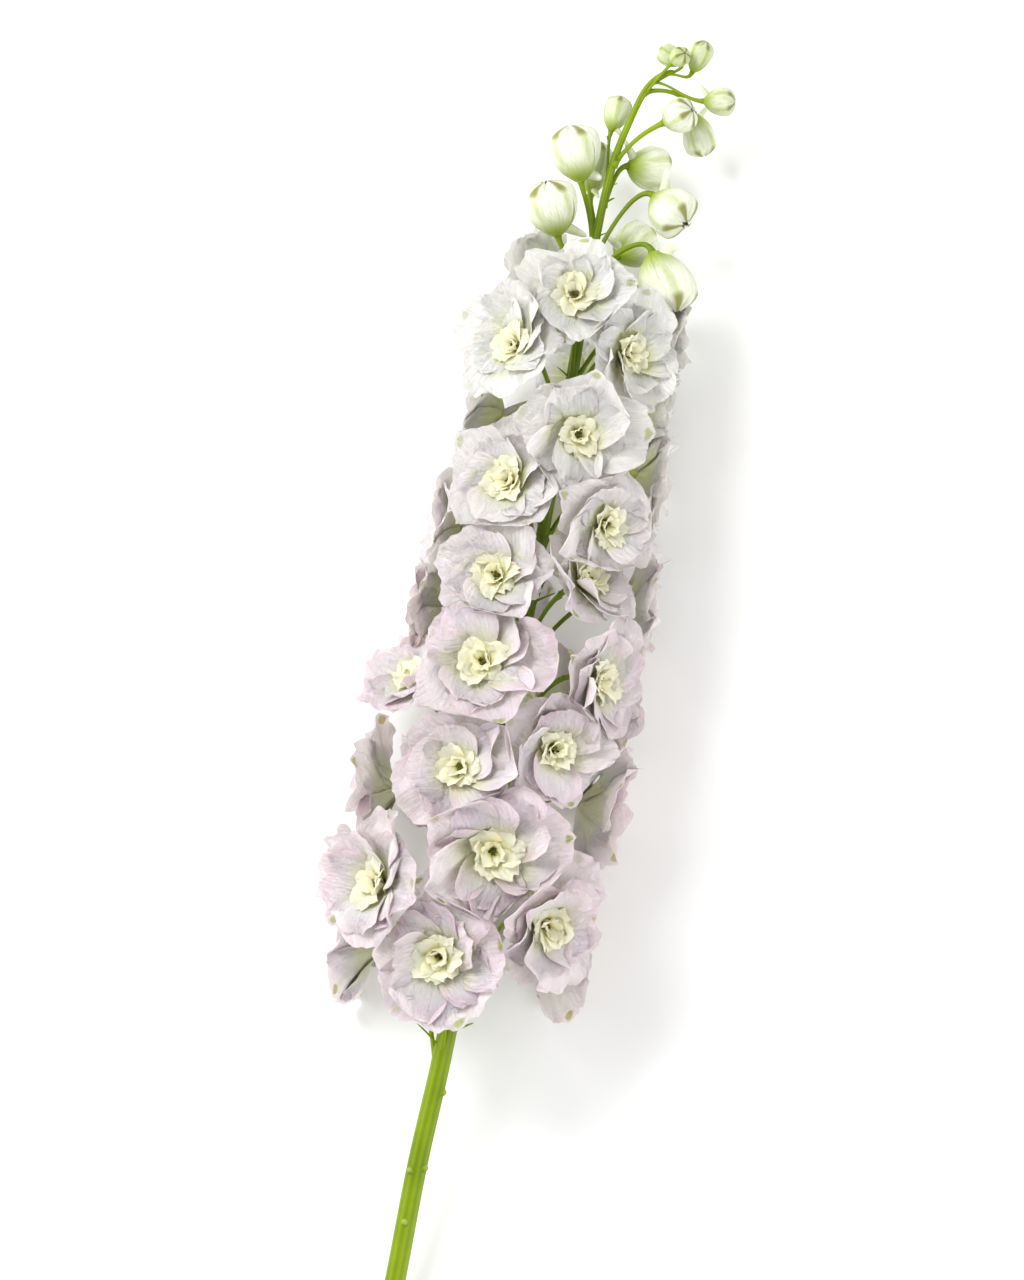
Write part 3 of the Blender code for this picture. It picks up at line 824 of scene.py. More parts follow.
@dataclass(frozen=True)
class Surface:
    """The parts of a finish that are the same all over a surface."""

    name: str
    roughness: float = 0.5
    glow: float = 0.0
    glow_depth: float = 2.0
    glow_colour: tuple[float, float, float] = (1.0, 0.85, 0.75)
    sheen: float = 0.0
    specular: float = 0.4

    def start(self) -> tuple[bpy.types.Material, Nodes, bpy.types.Node]:
        """A new material with its shader.

        Returns:
            The material, its nodes and its shader.
        """
        made = bpy.data.materials.new(self.name)
        made.use_nodes = True
        nodes = Nodes(made.node_tree)
        shader = made.node_tree.nodes["Principled BSDF"]
        settings = {
            "Roughness": self.roughness,
            "Subsurface Weight": self.glow,
            "Subsurface Scale": self.glow_depth * MM,
            "Sheen Weight": self.sheen,
            "Specular IOR Level": self.specular,
        }
        for name, value in settings.items():
            shader.inputs[name].default_value = value
        shader.inputs["Subsurface Radius"].default_value = self.glow_colour
        return made, nodes, shader

    def relief(self, nodes: Nodes, shader: bpy.types.Node, height: object, depth: float) -> None:
        """Give the surface a fine relief, its depth in millimetres."""
        bump = nodes.add("ShaderNodeBump", None, Height=height, Strength=1.0, Distance=depth * MM)
        nodes.put(shader.inputs["Normal"], bump.outputs[0])


@dataclass(frozen=True)
class PetalFinish:
    """A sepal or inner petal: white to pale lilac, green at its claw, spotted near its tip."""

    veins: bpy.types.NodeTree
    mottle: bpy.types.NodeTree
    surface: Surface = Surface(
        "petal", roughness=0.55, glow=0.5, glow_depth=3.0, sheen=0.15, specular=0.3
    )
    white: Colour = srgb(225, 222, 215)
    lilac: Colour = srgb(225, 208, 214)
    deep_lilac: Colour = srgb(222, 193, 205)
    claw: Colour = srgb(212, 215, 140)
    vein: Colour = srgb(238, 232, 234)
    spot: Colour = srgb(134, 146, 14)
    brown: Colour = srgb(134, 104, 46)
    vein_fineness: float = 15.0
    vein_strength: float = 0.3
    vein_on_back: float = 0.15
    margin_from: tuple[float, float] = (0.4, 0.5)
    lilac_least: float = 0.45
    lilac_at_margin: float = 0.35
    lilac_in_streaks: float = 0.4
    claw_reach: tuple[float, float] = (0.25, 0.72)
    claw_strength: float = 0.85
    claw_fade: float = 0.25
    rib_half: float = 0.16
    rib_reach: tuple[float, float] = (0.35, 0.85)
    rib_strength: float = 0.07
    rib_on_back: float = 0.22
    dot_at: float = 0.925
    dot_size: tuple[float, float] = (0.05, 0.15)
    dot_edge: tuple[float, float] = (0.2, 1.3)
    dot_strength: float = 0.8
    dot_most: float = 0.9
    bruise_edge: tuple[float, float] = (0.42, 0.7)
    bruise_strength: float = 0.6
    crinkle_size: float = 260.0
    crinkle_share: float = 0.8
    relief_depth: float = 0.34

    def petal_white(self, nodes: Nodes, streak: object) -> bpy.types.NodeSocket:
        """The white of young petals and the lilac of older ones, deepest at the margin.

        Args:
            nodes: The nodes of the finish.
            streak: Soft streaks along the petal.

        Returns:
            The ground colour.
        """
        along, across, tint = nodes.value("along"), nodes.value("across"), nodes.value("tint")
        side = nodes.ramp(nodes.math("ABSOLUTE", across), self.margin_from[0], 1.0)
        margin = nodes.math("MAXIMUM", side, nodes.ramp(along, self.margin_from[1], 1.0))
        lilac = nodes.mix(margin, self.lilac, self.deep_lilac)
        share = nodes.linear(margin, self.lilac_at_margin, self.lilac_least)
        share = nodes.math("ADD", share, nodes.math("MULTIPLY", streak, self.lilac_in_streaks))
        share = nodes.math("MINIMUM", nodes.math("MULTIPLY", tint, share), 1.0)
        return nodes.mix(share, self.white, lilac)

    def greened(self, nodes: Nodes, colour: object) -> bpy.types.NodeSocket:
        """The colour with the yellow-green of the claw and the faint green of the midrib.

        Args:
            nodes: The nodes of the finish.
            colour: The colour so far.

        Returns:
            The colour with its greens.
        """
        along, across, back = nodes.value("along"), nodes.value("across"), nodes.value("back")
        reach = nodes.step_down(along, *self.claw_reach)
        fade = nodes.math("MULTIPLY", nodes.value("tint"), self.claw_fade)
        green = nodes.math("SUBTRACT", self.claw_strength, fade)
        colour = nodes.mix(nodes.math("MULTIPLY", reach, green), colour, self.claw)
        middle = nodes.step_down(nodes.math("ABSOLUTE", across), 0.0, self.rib_half)
        rib = nodes.math("MULTIPLY", middle, nodes.ramp(along, *self.rib_reach))
        stain = nodes.math("MULTIPLY", rib, nodes.linear(back, self.rib_on_back, self.rib_strength))
        return nodes.mix(nodes.math("MULTIPLY", stain, nodes.value("mark")), colour, self.spot)

    def spotted(self, nodes: Nodes, colour: object, streak: object) -> bpy.types.NodeSocket:
        """The colour with the green spot near the tip and the brown in its midst.

        Args:
            nodes: The nodes of the finish.
            colour: The colour so far.
            streak: Soft streaks along the petal.

        Returns:
            The colour with its spot.
        """
        along, across, back = nodes.value("along"), nodes.value("across"), nodes.value("back")
        far = nodes.math("DIVIDE", nodes.math("SUBTRACT", along, self.dot_at), self.dot_size[0])
        wide = nodes.math("DIVIDE", across, self.dot_size[1])
        off = nodes.math("ADD", nodes.math("POWER", far, 2.0), nodes.math("POWER", wide, 2.0))
        dot = nodes.math("MULTIPLY", nodes.step_down(off, *self.dot_edge), nodes.value("mark"))
        dot = nodes.math("MULTIPLY", dot, nodes.math("ADD", self.dot_strength, back))
        colour = nodes.mix(nodes.math("MINIMUM", dot, self.dot_most), colour, self.spot)
        bruise = nodes.ramp(nodes.math("MULTIPLY", dot, streak), *self.bruise_edge)
        return nodes.mix(nodes.math("MULTIPLY", bruise, self.bruise_strength), colour, self.brown)

    def dress(self) -> bpy.types.Material:
        """Build the petal's material.

        Returns:
            The material.
        """
        made, nodes, shader = self.surface.start()
        vein = veined(nodes, self.veins, self.vein_fineness)
        colour = self.petal_white(nodes, vein["Streak"])
        strength = nodes.linear(nodes.value("back"), self.vein_on_back, self.vein_strength)
        line = nodes.math("MULTIPLY", vein["Vein"], strength)
        colour = self.greened(nodes, nodes.mix(line, colour, self.vein))
        nodes.put(shader.inputs["Base Color"], self.spotted(nodes, colour, vein["Streak"]))
        crinkle = nodes.group(self.mottle, Patch=self.crinkle_size).outputs["Patches"]
        crinkle = nodes.math("MULTIPLY", crinkle, self.crinkle_share)
        height = nodes.math("ADD", vein["Relief"], crinkle)
        self.surface.relief(nodes, shader, height, self.relief_depth)
        return made


@dataclass(frozen=True)
class EyeFinish:
    """The small petals of the eye: cream at the tips, yellow-green in the throat."""

    veins: bpy.types.NodeTree
    surface: Surface = Surface(
        "eye", roughness=0.6, glow=0.6, glow_depth=3.0, sheen=0.2, specular=0.25
    )
    cream: Colour = srgb(255, 251, 216)
    yellow: Colour = srgb(250, 241, 170)
    throat: Colour = srgb(206, 202, 92)
    vein_fineness: float = 9.0
    vein_strength: float = 0.3
    cream_from: tuple[float, float] = (0.2, 0.8)
    throat_reach: tuple[float, float] = (0.08, 0.42)
    relief_depth: float = 0.12

    def dress(self) -> bpy.types.Material:
        """Build the eye's material.

        Returns:
            The material.
        """
        made, nodes, shader = self.surface.start()
        along = nodes.value("along")
        vein = veined(nodes, self.veins, self.vein_fineness)
        colour = nodes.mix(nodes.ramp(along, *self.cream_from), self.yellow, self.cream)
        line = nodes.math("MULTIPLY", vein["Vein"], self.vein_strength)
        colour = nodes.mix(line, colour, self.yellow)
        low = nodes.step_down(along, *self.throat_reach)
        nodes.put(shader.inputs["Base Color"], nodes.mix(low, colour, self.throat))
        self.surface.relief(nodes, shader, vein["Relief"], self.relief_depth)
        return made


@dataclass(frozen=True)
class BudFinish:
    """A bud: greenish cream, green at its foot and down its folds, dark at its tip."""

    veins: bpy.types.NodeTree
    surface: Surface = Surface(
        "bud", roughness=0.5, glow=0.15, glow_depth=1.5, sheen=0.1, specular=0.25
    )
    cream: Colour = srgb(235, 237, 217)
    green: Colour = srgb(152, 174, 34)
    tip: Colour = srgb(124, 122, 8)
    vein_fineness: float = 11.0
    vein_strength: float = 0.3
    young_green: float = 0.55
    foot_reach: tuple[float, float] = (0.02, 0.5)
    rib_edge: tuple[float, float] = (0.03, 0.3)
    rib_strength: float = 0.42
    rib_when_young: float = 0.3
    dot_side: tuple[float, float] = (0.1, 0.4)
    dot_from: tuple[float, float] = (0.74, 0.86)
    dot_strength: float = 0.85
    relief_depth: float = 0.15

    def dress(self) -> bpy.types.Material:
        """Build the bud's material.

        Returns:
            The material.
        """
        made, nodes, shader = self.surface.start()
        along, young = nodes.value("along"), nodes.value("young")
        vein = veined(nodes, self.veins, self.vein_fineness)
        side = nodes.math("ABSOLUTE", nodes.value("across"))
        colour = nodes.mix(nodes.math("MULTIPLY", young, self.young_green), self.cream, self.green)
        rib = nodes.step_down(side, *self.rib_edge)
        strength = nodes.linear(young, self.rib_when_young, self.rib_strength)
        rib = nodes.math("MULTIPLY", rib, strength)
        foot = nodes.step_down(along, *self.foot_reach)
        colour = nodes.mix(nodes.math("MAXIMUM", foot, rib), colour, self.green)
        line = nodes.math("MULTIPLY", vein["Vein"], self.vein_strength)
        colour = nodes.mix(line, colour, self.green)
        middle = nodes.step_down(side, *self.dot_side)
        dot = nodes.math("MULTIPLY", middle, nodes.ramp(along, *self.dot_from))
        colour = nodes.mix(nodes.math("MULTIPLY", dot, self.dot_strength), colour, self.tip)
        nodes.put(shader.inputs["Base Color"], colour)
        self.surface.relief(nodes, shader, vein["Relief"], self.relief_depth)
        return made


@dataclass(frozen=True)
class StemFinish:
    """The fresh green stem: light on its ridges, with painted shade in a darker green inside the
    spike, where the florets shade it.
    """

    mottle: bpy.types.NodeTree
    surface: Surface = Surface("stem", roughness=0.5, glow=0.1, glow_depth=1.5, specular=0.22)
    light: Colour = srgb(146, 168, 22)
    green: Colour = srgb(100, 126, 4)
    # Painted shade: the darker green where the florets shade the stem, pedicels and bracts.
    painted_shade: Colour = srgb(72, 92, 20)
    cut: Colour = srgb(196, 206, 130)
    patch_size: float = 45.0
    grain_size: float = 1400.0
    light_on_ridges: float = 0.5
    light_in_patches: float = 0.4
    painted_shade_strength: float = 0.75
    relief_depth: float = 0.05

    def dress(self) -> bpy.types.Material:
        """Build the stem's material.

        Returns:
            The material.
        """
        made, nodes, shader = self.surface.start()
        mottle = nodes.group(self.mottle, Patch=self.patch_size, Grain=self.grain_size).outputs
        patches = nodes.math("MULTIPLY", mottle["Patches"], self.light_in_patches)
        ridges = nodes.math("MULTIPLY", nodes.value("ridge"), self.light_on_ridges)
        colour = nodes.mix(nodes.math("ADD", ridges, patches), self.green, self.light)
        # Mix in the painted shade, as much as each point's shade value says.
        painted_shade = nodes.math("MULTIPLY", nodes.value("shade"), self.painted_shade_strength)
        colour = nodes.mix(painted_shade, colour, self.painted_shade)
        nodes.put(shader.inputs["Base Color"], nodes.mix(nodes.value("cut"), colour, self.cut))
        self.surface.relief(nodes, shader, mottle["Pores"], self.relief_depth)
        return made


@dataclass(frozen=True)
class StamenFinish:
    """Stamens: pale stalks with olive anthers."""

    mottle: bpy.types.NodeTree
    surface: Surface = Surface("stamens", roughness=0.6, glow=0.1, glow_depth=1.0, specular=0.3)
    stalk: Colour = srgb(176, 184, 96)
    anther: Colour = srgb(104, 102, 34)
    dark: Colour = srgb(58, 56, 24)
    patch_size: float = 420.0
    grain_size: float = 2500.0
    relief_depth: float = 0.08

    def dress(self) -> bpy.types.Material:
        """Build the stamens' material.

        Returns:
            The material.
        """
        made, nodes, shader = self.surface.start()
        mottle = nodes.group(self.mottle, Patch=self.patch_size, Grain=self.grain_size).outputs
        tip = nodes.mix(mottle["Patches"], self.anther, self.dark)
        nodes.put(shader.inputs["Base Color"], nodes.mix(nodes.value("anther"), self.stalk, tip))
        self.surface.relief(nodes, shader, mottle["Pores"], self.relief_depth)
        return made


@dataclass(frozen=True)
class FloorFinish:
    """The pale, slightly uneven surface below."""

    mottle: bpy.types.NodeTree
    surface: Surface = Surface("pale floor", roughness=0.9, specular=0.1)
    pale: Colour = srgb(250, 250, 250)
    worn: Colour = srgb(248, 248, 248)
    patch_size: float = 6.0

    def dress(self) -> bpy.types.Material:
        """Build the floor's material.

        Returns:
            The material.
        """
        made, nodes, shader = self.surface.start()
        mottle = nodes.group(self.mottle, Patch=self.patch_size).outputs
        nodes.put(shader.inputs["Base Color"], nodes.mix(mottle["Patches"], self.pale, self.worn))
        return made


@dataclass(frozen=True)
class Wardrobe:
    """Every finish, made once."""

    petal: bpy.types.Material
    eye: bpy.types.Material
    bud: bpy.types.Material
    stem: bpy.types.Material
    stamens: bpy.types.Material
    floor: bpy.types.Material

    @classmethod
    def make(cls) -> "Wardrobe":
        """Build all the materials and the groups they share.

        Returns:
            The wardrobe.
        """
        veins, mottle = FineVeins().build(), SoftMottle().build()
        return cls(
            PetalFinish(veins, mottle).dress(),
            EyeFinish(veins).dress(),
            BudFinish(veins).dress(),
            StemFinish(mottle).dress(),
            StamenFinish(mottle).dress(),
            FloorFinish(mottle).dress(),
        )


# ---- florets -------------------------------------------------------------------------------


@dataclass(frozen=True)
class Petal:
    """One petal: where it stands round its hub, its outline, how it opens and how it ruffles."""

    angle: float
    root: float
    level: float
    length: float
    width: float
    rise: float
    spread: float
    cup: float
    twist: float
    wave: float
    frill: float
    roll: float
    phase: float
    peak: float
    claw: float
    seed: float
    notch: float
    ragged: float

    CORNER_CUT: ClassVar[float] = 0.30
    CORNER_POWER: ClassVar[float] = 2.4
    NOTCH_WIDTH: ClassVar[float] = 0.22
    PEAK_WIDTH: ClassVar[float] = 0.16
    FULL_GIRTH_AT: ClassVar[float] = 0.62
    GIRTH_POWER: ClassVar[float] = 0.85
    TIP_TAPER: ClassVar[float] = 0.10
    LEAST_TURN: ClassVar[float] = 1e-3
    LEAST_CUP: ClassVar[float] = 0.05
    ROLL_FROM: ClassVar[float] = 0.6
    FRILL_FROM: ClassVar[float] = 0.55

    def surface(self, u: Array, v: Array) -> Array:
        """Points of the petal's middle surface in its floret's frame.

        Args:
            u: Along the petal, 0 at its foot and 1 at its tip.
            v: Across the petal, from -1 to 1.

        Returns:
            The points, with a last axis of three.
        """
        along = self.outline(u, v)
        start, end = math.radians(self.rise), math.radians(self.spread)
        bend = end - start if abs(end - start) > self.LEAST_TURN else self.LEAST_TURN
        slope = start + bend * along
        run = (np.sin(slope) - math.sin(start)) / bend
        lift = (math.cos(start) - np.cos(slope)) / bend
        half = self.width / 2 * self.girth(along)
        curl = max(self.cup, self.LEAST_CUP)
        side = half * np.sin(curl * v) / curl
        hollow = half * (1 - np.cos(curl * v)) / curl
        raised = hollow + self.twist * side + self.length * self.ruffles(u, v)
        reach = self.root + self.length * run - raised * np.sin(slope)
        height = self.level + self.length * lift + raised * np.cos(slope)
        turn = math.radians(self.angle)
        x = reach * math.sin(turn) + side * math.cos(turn)
        y = reach * math.cos(turn) - side * math.sin(turn)
        return np.stack((x, y, height), -1)

    def outline(self, u: Array, v: Array) -> Array:
        """How far along the petal its points lie: cut back at the corners, with a ragged tip.

        Args:
            u: Along the petal, 0 to 1.
            v: Across it, -1 to 1.

        Returns:
            The share of its length that each point reaches.
        """
        dip = self.notch * np.exp(-((v / self.NOTCH_WIDTH) ** 2)) * u**4
        peak = self.peak * np.exp(-((v / self.PEAK_WIDTH) ** 2)) * u**6
        ragged = np.sin(9 * v + 3 * self.phase) * u**4
        ragged = ragged + 0.8 * np.sin(21 * v + 5 * self.phase) * u**6
        corners = 1 - self.CORNER_CUT * np.abs(v) ** self.CORNER_POWER
        return u * corners + peak - dip + self.ragged * ragged

    def girth(self, along: Array) -> Array:
        """The petal's width along it, as a share of its full width.

        Args:
            along: How far along the petal.

        Returns:
            The share of its width.
        """
        full = np.clip(along / self.FULL_GIRTH_AT, 0, 1)
        girth = self.claw + (1 - self.claw) * np.sin(math.pi / 2 * full) ** self.GIRTH_POWER
        return girth * (1 - self.TIP_TAPER * np.maximum(0.0, along - self.FULL_GIRTH_AT))

    def ruffles(self, u: Array, v: Array) -> Array:
        """How far the petal rises: in broad waves, at its frilled margin and where it rolls.

        Args:
            u: Along the petal, 0 to 1.
            v: Across it, -1 to 1.

        Returns:
            The rise, as a share of the petal's length.
        """
        edge = np.abs(v)
        rim = np.maximum(edge, u)
        broad = edge**1.5 * np.sin(5.2 * u + self.phase + 1.4 * np.sign(v))
        broad = broad + 0.7 * u**3 * np.sin(4.1 * v + self.phase)
        margin = np.clip((rim - self.FRILL_FROM) / (1 - self.FRILL_FROM), 0, 1) ** 2 * u
        fine = np.sin(13 * v + 2.1 * self.phase + 4 * u) + 0.6 * np.sin(23 * u + 9 * v + self.phase)
        rolled = self.roll * np.clip(rim - self.ROLL_FROM, 0, 1) ** 2 * u
        return self.wave * u**1.5 * broad + self.frill * margin * fine + rolled


class Whorl(Enum):
    """The whorls of a floret, from the outside in."""

    SEPALS = "sepals"
    INNER = "inner petals"
    EYE = "eye"
    HEART = "heart"


@dataclass(frozen=True)
class WhorlShape:
    """How the petals of a whorl are cut and held, lengths and widths as shares of the floret's."""

    seed: int
    turn: float
    count: int
    length: float
    width: float
    root: float
    level: float
    rise: float
    spread: float
    cup: float
    twist: float
    wave: float
    frill: float
    roll: float
    peak: float
    claw: float
    notch: float
    ragged: float
    grid: tuple[int, int]
    half: float

    ANGLES: ClassVar[tuple[float, float]] = (-8, 8)
    LEVELS: ClassVar[tuple[float, float]] = (-0.2, 0.3)
    LENGTHS: ClassVar[tuple[float, float]] = (0.89, 1.13)
    WIDTHS: ClassVar[tuple[float, float]] = (0.88, 1.10)
    RISES: ClassVar[tuple[float, float]] = (-5, 5)
    SPREADS: ClassVar[tuple[float, float]] = (-17, 22)
    CUPS: ClassVar[tuple[float, float]] = (0.6, 1.35)
    TWISTS: ClassVar[tuple[float, float]] = (0.8, 1.2)
    RUFFLES: ClassVar[tuple[float, float]] = (0.5, 1.5)
    ROLLS: ClassVar[tuple[float, float]] = (-0.9, 1.2)
    NOTCHES: ClassVar[tuple[float, float]] = (0.4, 1.4)

    def petals(self, size: float, seed: int) -> list[Petal]:
        """The whorl's petals, each a little different from the next.

        Args:
            size: The floret's width.
            seed: The seed of the small differences.

        Returns:
            The petals.
        """
        draw = random.Random(seed)
        made = []
        for k in range(self.count):
            made.append(
                Petal(
                    angle=self.turn + 360 / self.count * k + draw.uniform(*self.ANGLES),
                    root=self.root,
                    level=self.level + draw.uniform(*self.LEVELS),
                    length=size * self.length * draw.uniform(*self.LENGTHS),
                    width=size * self.width * draw.uniform(*self.WIDTHS),
                    rise=self.rise + draw.uniform(*self.RISES),
                    spread=self.spread + draw.uniform(*self.SPREADS),
                    cup=self.cup * draw.uniform(*self.CUPS),
                    twist=self.twist * draw.uniform(*self.TWISTS),
                    wave=self.wave * draw.uniform(*self.RUFFLES),
                    frill=self.frill * draw.uniform(*self.RUFFLES),
                    roll=self.roll * draw.uniform(*self.ROLLS),
                    phase=draw.uniform(0, 2 * math.pi),
                    peak=self.peak,
                    claw=self.claw,
                    seed=draw.uniform(0, 10),
                    notch=self.notch * draw.uniform(*self.NOTCHES),
                    ragged=self.ragged,
                )
            )
        return made


SHAPES = {
    Whorl.SEPALS: WhorlShape(
        seed=100, turn=0.0, count=5, length=0.575, width=0.66,
        root=1.0, level=0.0, rise=34, spread=2, cup=0.60, twist=0.14,
        wave=0.066, frill=0.020, roll=0.26, peak=0.045, claw=0.24,
        notch=0.0, ragged=0.020, grid=(22, 21), half=0.16,
    ),
    Whorl.INNER: WhorlShape(
        seed=200, turn=36.0, count=5, length=0.465, width=0.55,
        root=0.9, level=1.0, rise=43, spread=7, cup=0.64, twist=0.14,
        wave=0.066, frill=0.020, roll=0.24, peak=0.0, claw=0.24,
        notch=0.03, ragged=0.022, grid=(18, 17), half=0.14,
    ),
    Whorl.EYE: WhorlShape(
        seed=300, turn=10.0, count=6, length=0.245, width=0.225,
        root=1.3, level=2.6, rise=68, spread=8, cup=0.6, twist=0.12,
        wave=0.10, frill=0.038, roll=0.5, peak=0.0, claw=0.34,
        notch=0.10, ragged=0.035, grid=(11, 11), half=0.13,
    ),
    Whorl.HEART: WhorlShape(
        seed=400, turn=40.0, count=4, length=0.17, width=0.15,
        root=1.0, level=3.4, rise=80, spread=42, cup=0.6, twist=0.10,
        wave=0.10, frill=0.040, roll=0.5, peak=0.0, claw=0.4,
        notch=0.14, ragged=0.03, grid=(9, 9), half=0.13,
    ),
}


@dataclass
class Floret:
    """One open flower with its sepals, inner petals, eye, stamens and spur."""

    number: int
    row: FloretRow
    place: Place
    shift: Array
    tint_span: tuple[float, float] = (270.0, 400.0)
    tints: tuple[float, float] = (0.55, 1.0)
    marks: tuple[float, float] = (0.0, 1.3)
    rim_thinning: float = 0.7
    sway: float = 1.15
    sway_reach: float = 26.0
    sway_power: float = 1.3
    sway_waves: int = 4
    sway_lengths: tuple[float, float] = (13.0, 27.0)
    hub_sides: int = 12
    hub_profile: tuple[tuple[float, float], ...] = (
        (-3.4, 1.55), (-2.6, 1.9), (-1.2, 2.5), (0.3, 2.6), (2.0, 2.1), (3.6, 1.5), (4.4, 0.5),
    )
    anthers: int = 11
    anther_size: float = 0.62
    anther_sizes: tuple[float, float] = (0.8, 1.2)
    anther_length: float = 1.5
    anther_ways: tuple[tuple[float, float], ...] = ((-1, 1), (-1, 1), (0.2, 0.9))
    anther_steps: int = 6
    anther_sides: int = 8
    stalk_radius: float = 0.28
    stalk_foot: float = 3.0
    stalk_tops: tuple[float, float] = (4.6, 7.2)
    stalk_lean: float = 2.9
    stalk_turns: tuple[float, float] = (-12, 12)
    stalk_steps: int = 5
    stalk_sides: int = 6
    foot_share: float = 0.4
    golden_angle: float = 137.5
    spur_share: float = 0.24
    spur_start: tuple[float, float] = (1.4, -0.8)
    spur_rise: float = 0.75
    spur_fall: tuple[float, float] = (0.62, 0.25)
    spur_radius: float = 1.5
    spur_girth_steps: tuple[float, ...] = (0.0, 0.45, 0.9, 1.0)
    spur_girths: tuple[float, ...] = (1.35, 1.0, 0.6, 0.25)
    spur_steps: int = 12
    spur_sides: int = 12

    def tint(self) -> float:
        """How lilac the floret is: the lower, older ones more than the upper ones."""
        return float(np.interp(self.row.along, self.tint_span, (1.0, 0.0)))

    def petals_piece(
        self,
        title: str,
        whorls: Sequence[Whorl],
        finish: bpy.types.Material,
        nodes: Sequence[str] = (),
    ) -> None:
        """Build petals as one piece.

        Args:
            title: What the piece is called after its floret's number.
            whorls: The whorls that it holds.
            finish: The material of the petals.
            nodes: The solids that it stands for.
        """
        skin = Skin(f"floret_{self.number:02d}_{title}", self.shift)
        for whorl in whorls:
            self.whorl(skin, whorl)
        skin.piece(finish, nodes)

    def swayed(self, points: Array) -> Array:
        """Points moved as the whole floret leans and buckles, more the farther out they are.

        Args:
            points: Points in the stem's frame.

        Returns:
            The moved points.
        """
        draw = random.Random(4000 + self.number)
        out = points - self.place.hub
        distance = np.linalg.norm(out, axis=-1, keepdims=True)
        share = np.clip(distance / self.sway_reach, 0, 1) ** self.sway_power
        moved = np.zeros_like(points)
        for _ in range(self.sway_waves):
            way = unit(np.array([draw.gauss(0, 1) for _ in range(3)]))
            push = unit(np.array([draw.gauss(0, 1) for _ in range(3)]))
            length, phase = draw.uniform(*self.sway_lengths), draw.uniform(0, 2 * math.pi)
            turn = 2 * math.pi * (out @ way) / length + phase
            moved = moved + push * np.sin(turn)[..., None]
        return points + moved * share * self.sway

    def whorl(self, skin: Skin, whorl: Whorl) -> None:
        """Add one whorl of petals.

        Args:
            skin: The mesh that the petals go into.
            whorl: Which whorl.
        """
        shape = SHAPES[whorl]
        seed = shape.seed + self.number
        rows, columns = shape.grid
        v, u = np.meshgrid(np.linspace(-1, 1, columns), np.linspace(0, 1, rows))
        half = shape.half * (1 - self.rim_thinning * np.maximum(np.abs(v), u) ** 3)
        draw = random.Random(seed + 900)
        for petal in shape.petals(self.row.width, seed):
            middle = self.swayed(self.place.point(petal.surface(u, v)))
            tint = self.tint() * draw.uniform(*self.tints)
            mark = draw.uniform(*self.marks) if whorl is Whorl.SEPALS else 0.0
            values = {"along": u, "across": v}
            for name, value in (("tint", tint), ("seed", petal.seed), ("mark", mark)):
                values[name] = np.full_like(u, value)
            skin.sheet(self.place.bent_clear(middle, shape.half + 0.05), half, values)

    def receptacle(self, skin: Skin) -> None:
        """Add the green receptacle below the petals and the crown that carries the stamens.

        Args:
            skin: The mesh that it goes into.
        """
        turns = 2 * math.pi * np.arange(self.hub_sides) / self.hub_sides
        circle = np.stack((np.sin(turns), np.cos(turns)), -1)
        rings = []
        for level, radius in self.hub_profile:
            local = np.column_stack((circle * radius, np.full(self.hub_sides, level)))
            rings.append(self.place.point(local)[::-1])
        skin.tube(np.array(rings), {"anther": np.zeros(len(rings) * self.hub_sides)})

    def stamens_piece(self, finish: bpy.types.Material) -> None:
        """Build the stamens: short stalks with an anther on each.

        Args:
            finish: The material that dresses the piece.
        """
        skin = Skin(f"floret_{self.number:02d}_stamens", self.shift)
        self.receptacle(skin)
        draw = random.Random(7000 + self.number)
        for k in range(self.anthers):
            angle = math.radians(self.golden_angle * k + draw.uniform(*self.stalk_turns))
            lean = self.stalk_lean * math.sqrt((k + 0.5) / self.anthers)
            x, y = math.sin(angle) * lean, math.cos(angle) * lean
            foot = np.array((x * self.foot_share, y * self.foot_share, self.stalk_foot))
            top = np.array((x, y, draw.uniform(*self.stalk_tops)))
            steps = np.linspace(0, 1, self.stalk_steps)
            path = foot + (top - foot) * steps[:, None]
            radii = np.full(self.stalk_steps, self.stalk_radius)
            self.rod(skin, path, radii, self.stalk_sides, 0.0)
            way = unit(np.array([draw.uniform(*span) for span in self.anther_ways]))
            steps = np.linspace(-1, 1, self.anther_steps)
            size = self.anther_size * draw.uniform(*self.anther_sizes)
            path = top + way * steps[:, None] * size * self.anther_length
            radii = size * np.sqrt(np.maximum(0.04, 1 - steps**2))
            self.rod(skin, path, radii, self.anther_sides, 1.0)
        skin.piece(finish)

    def rod(self, skin: Skin, path: Array, radii: Array, sides: int, anther: float) -> None:
        """Add a round part of a stamen.

        Args:
            skin: The mesh that it goes into.
            path: Its centre line in the floret's frame.
            radii: Its radius at each point of the line.
            sides: How many sides it has.
            anther: 1 for an anther and 0 for a stalk.
        """
        rings = swept(self.place.point(path), radii, sides)
        skin.tube(rings, {"anther": np.full(len(path) * sides, anther)})

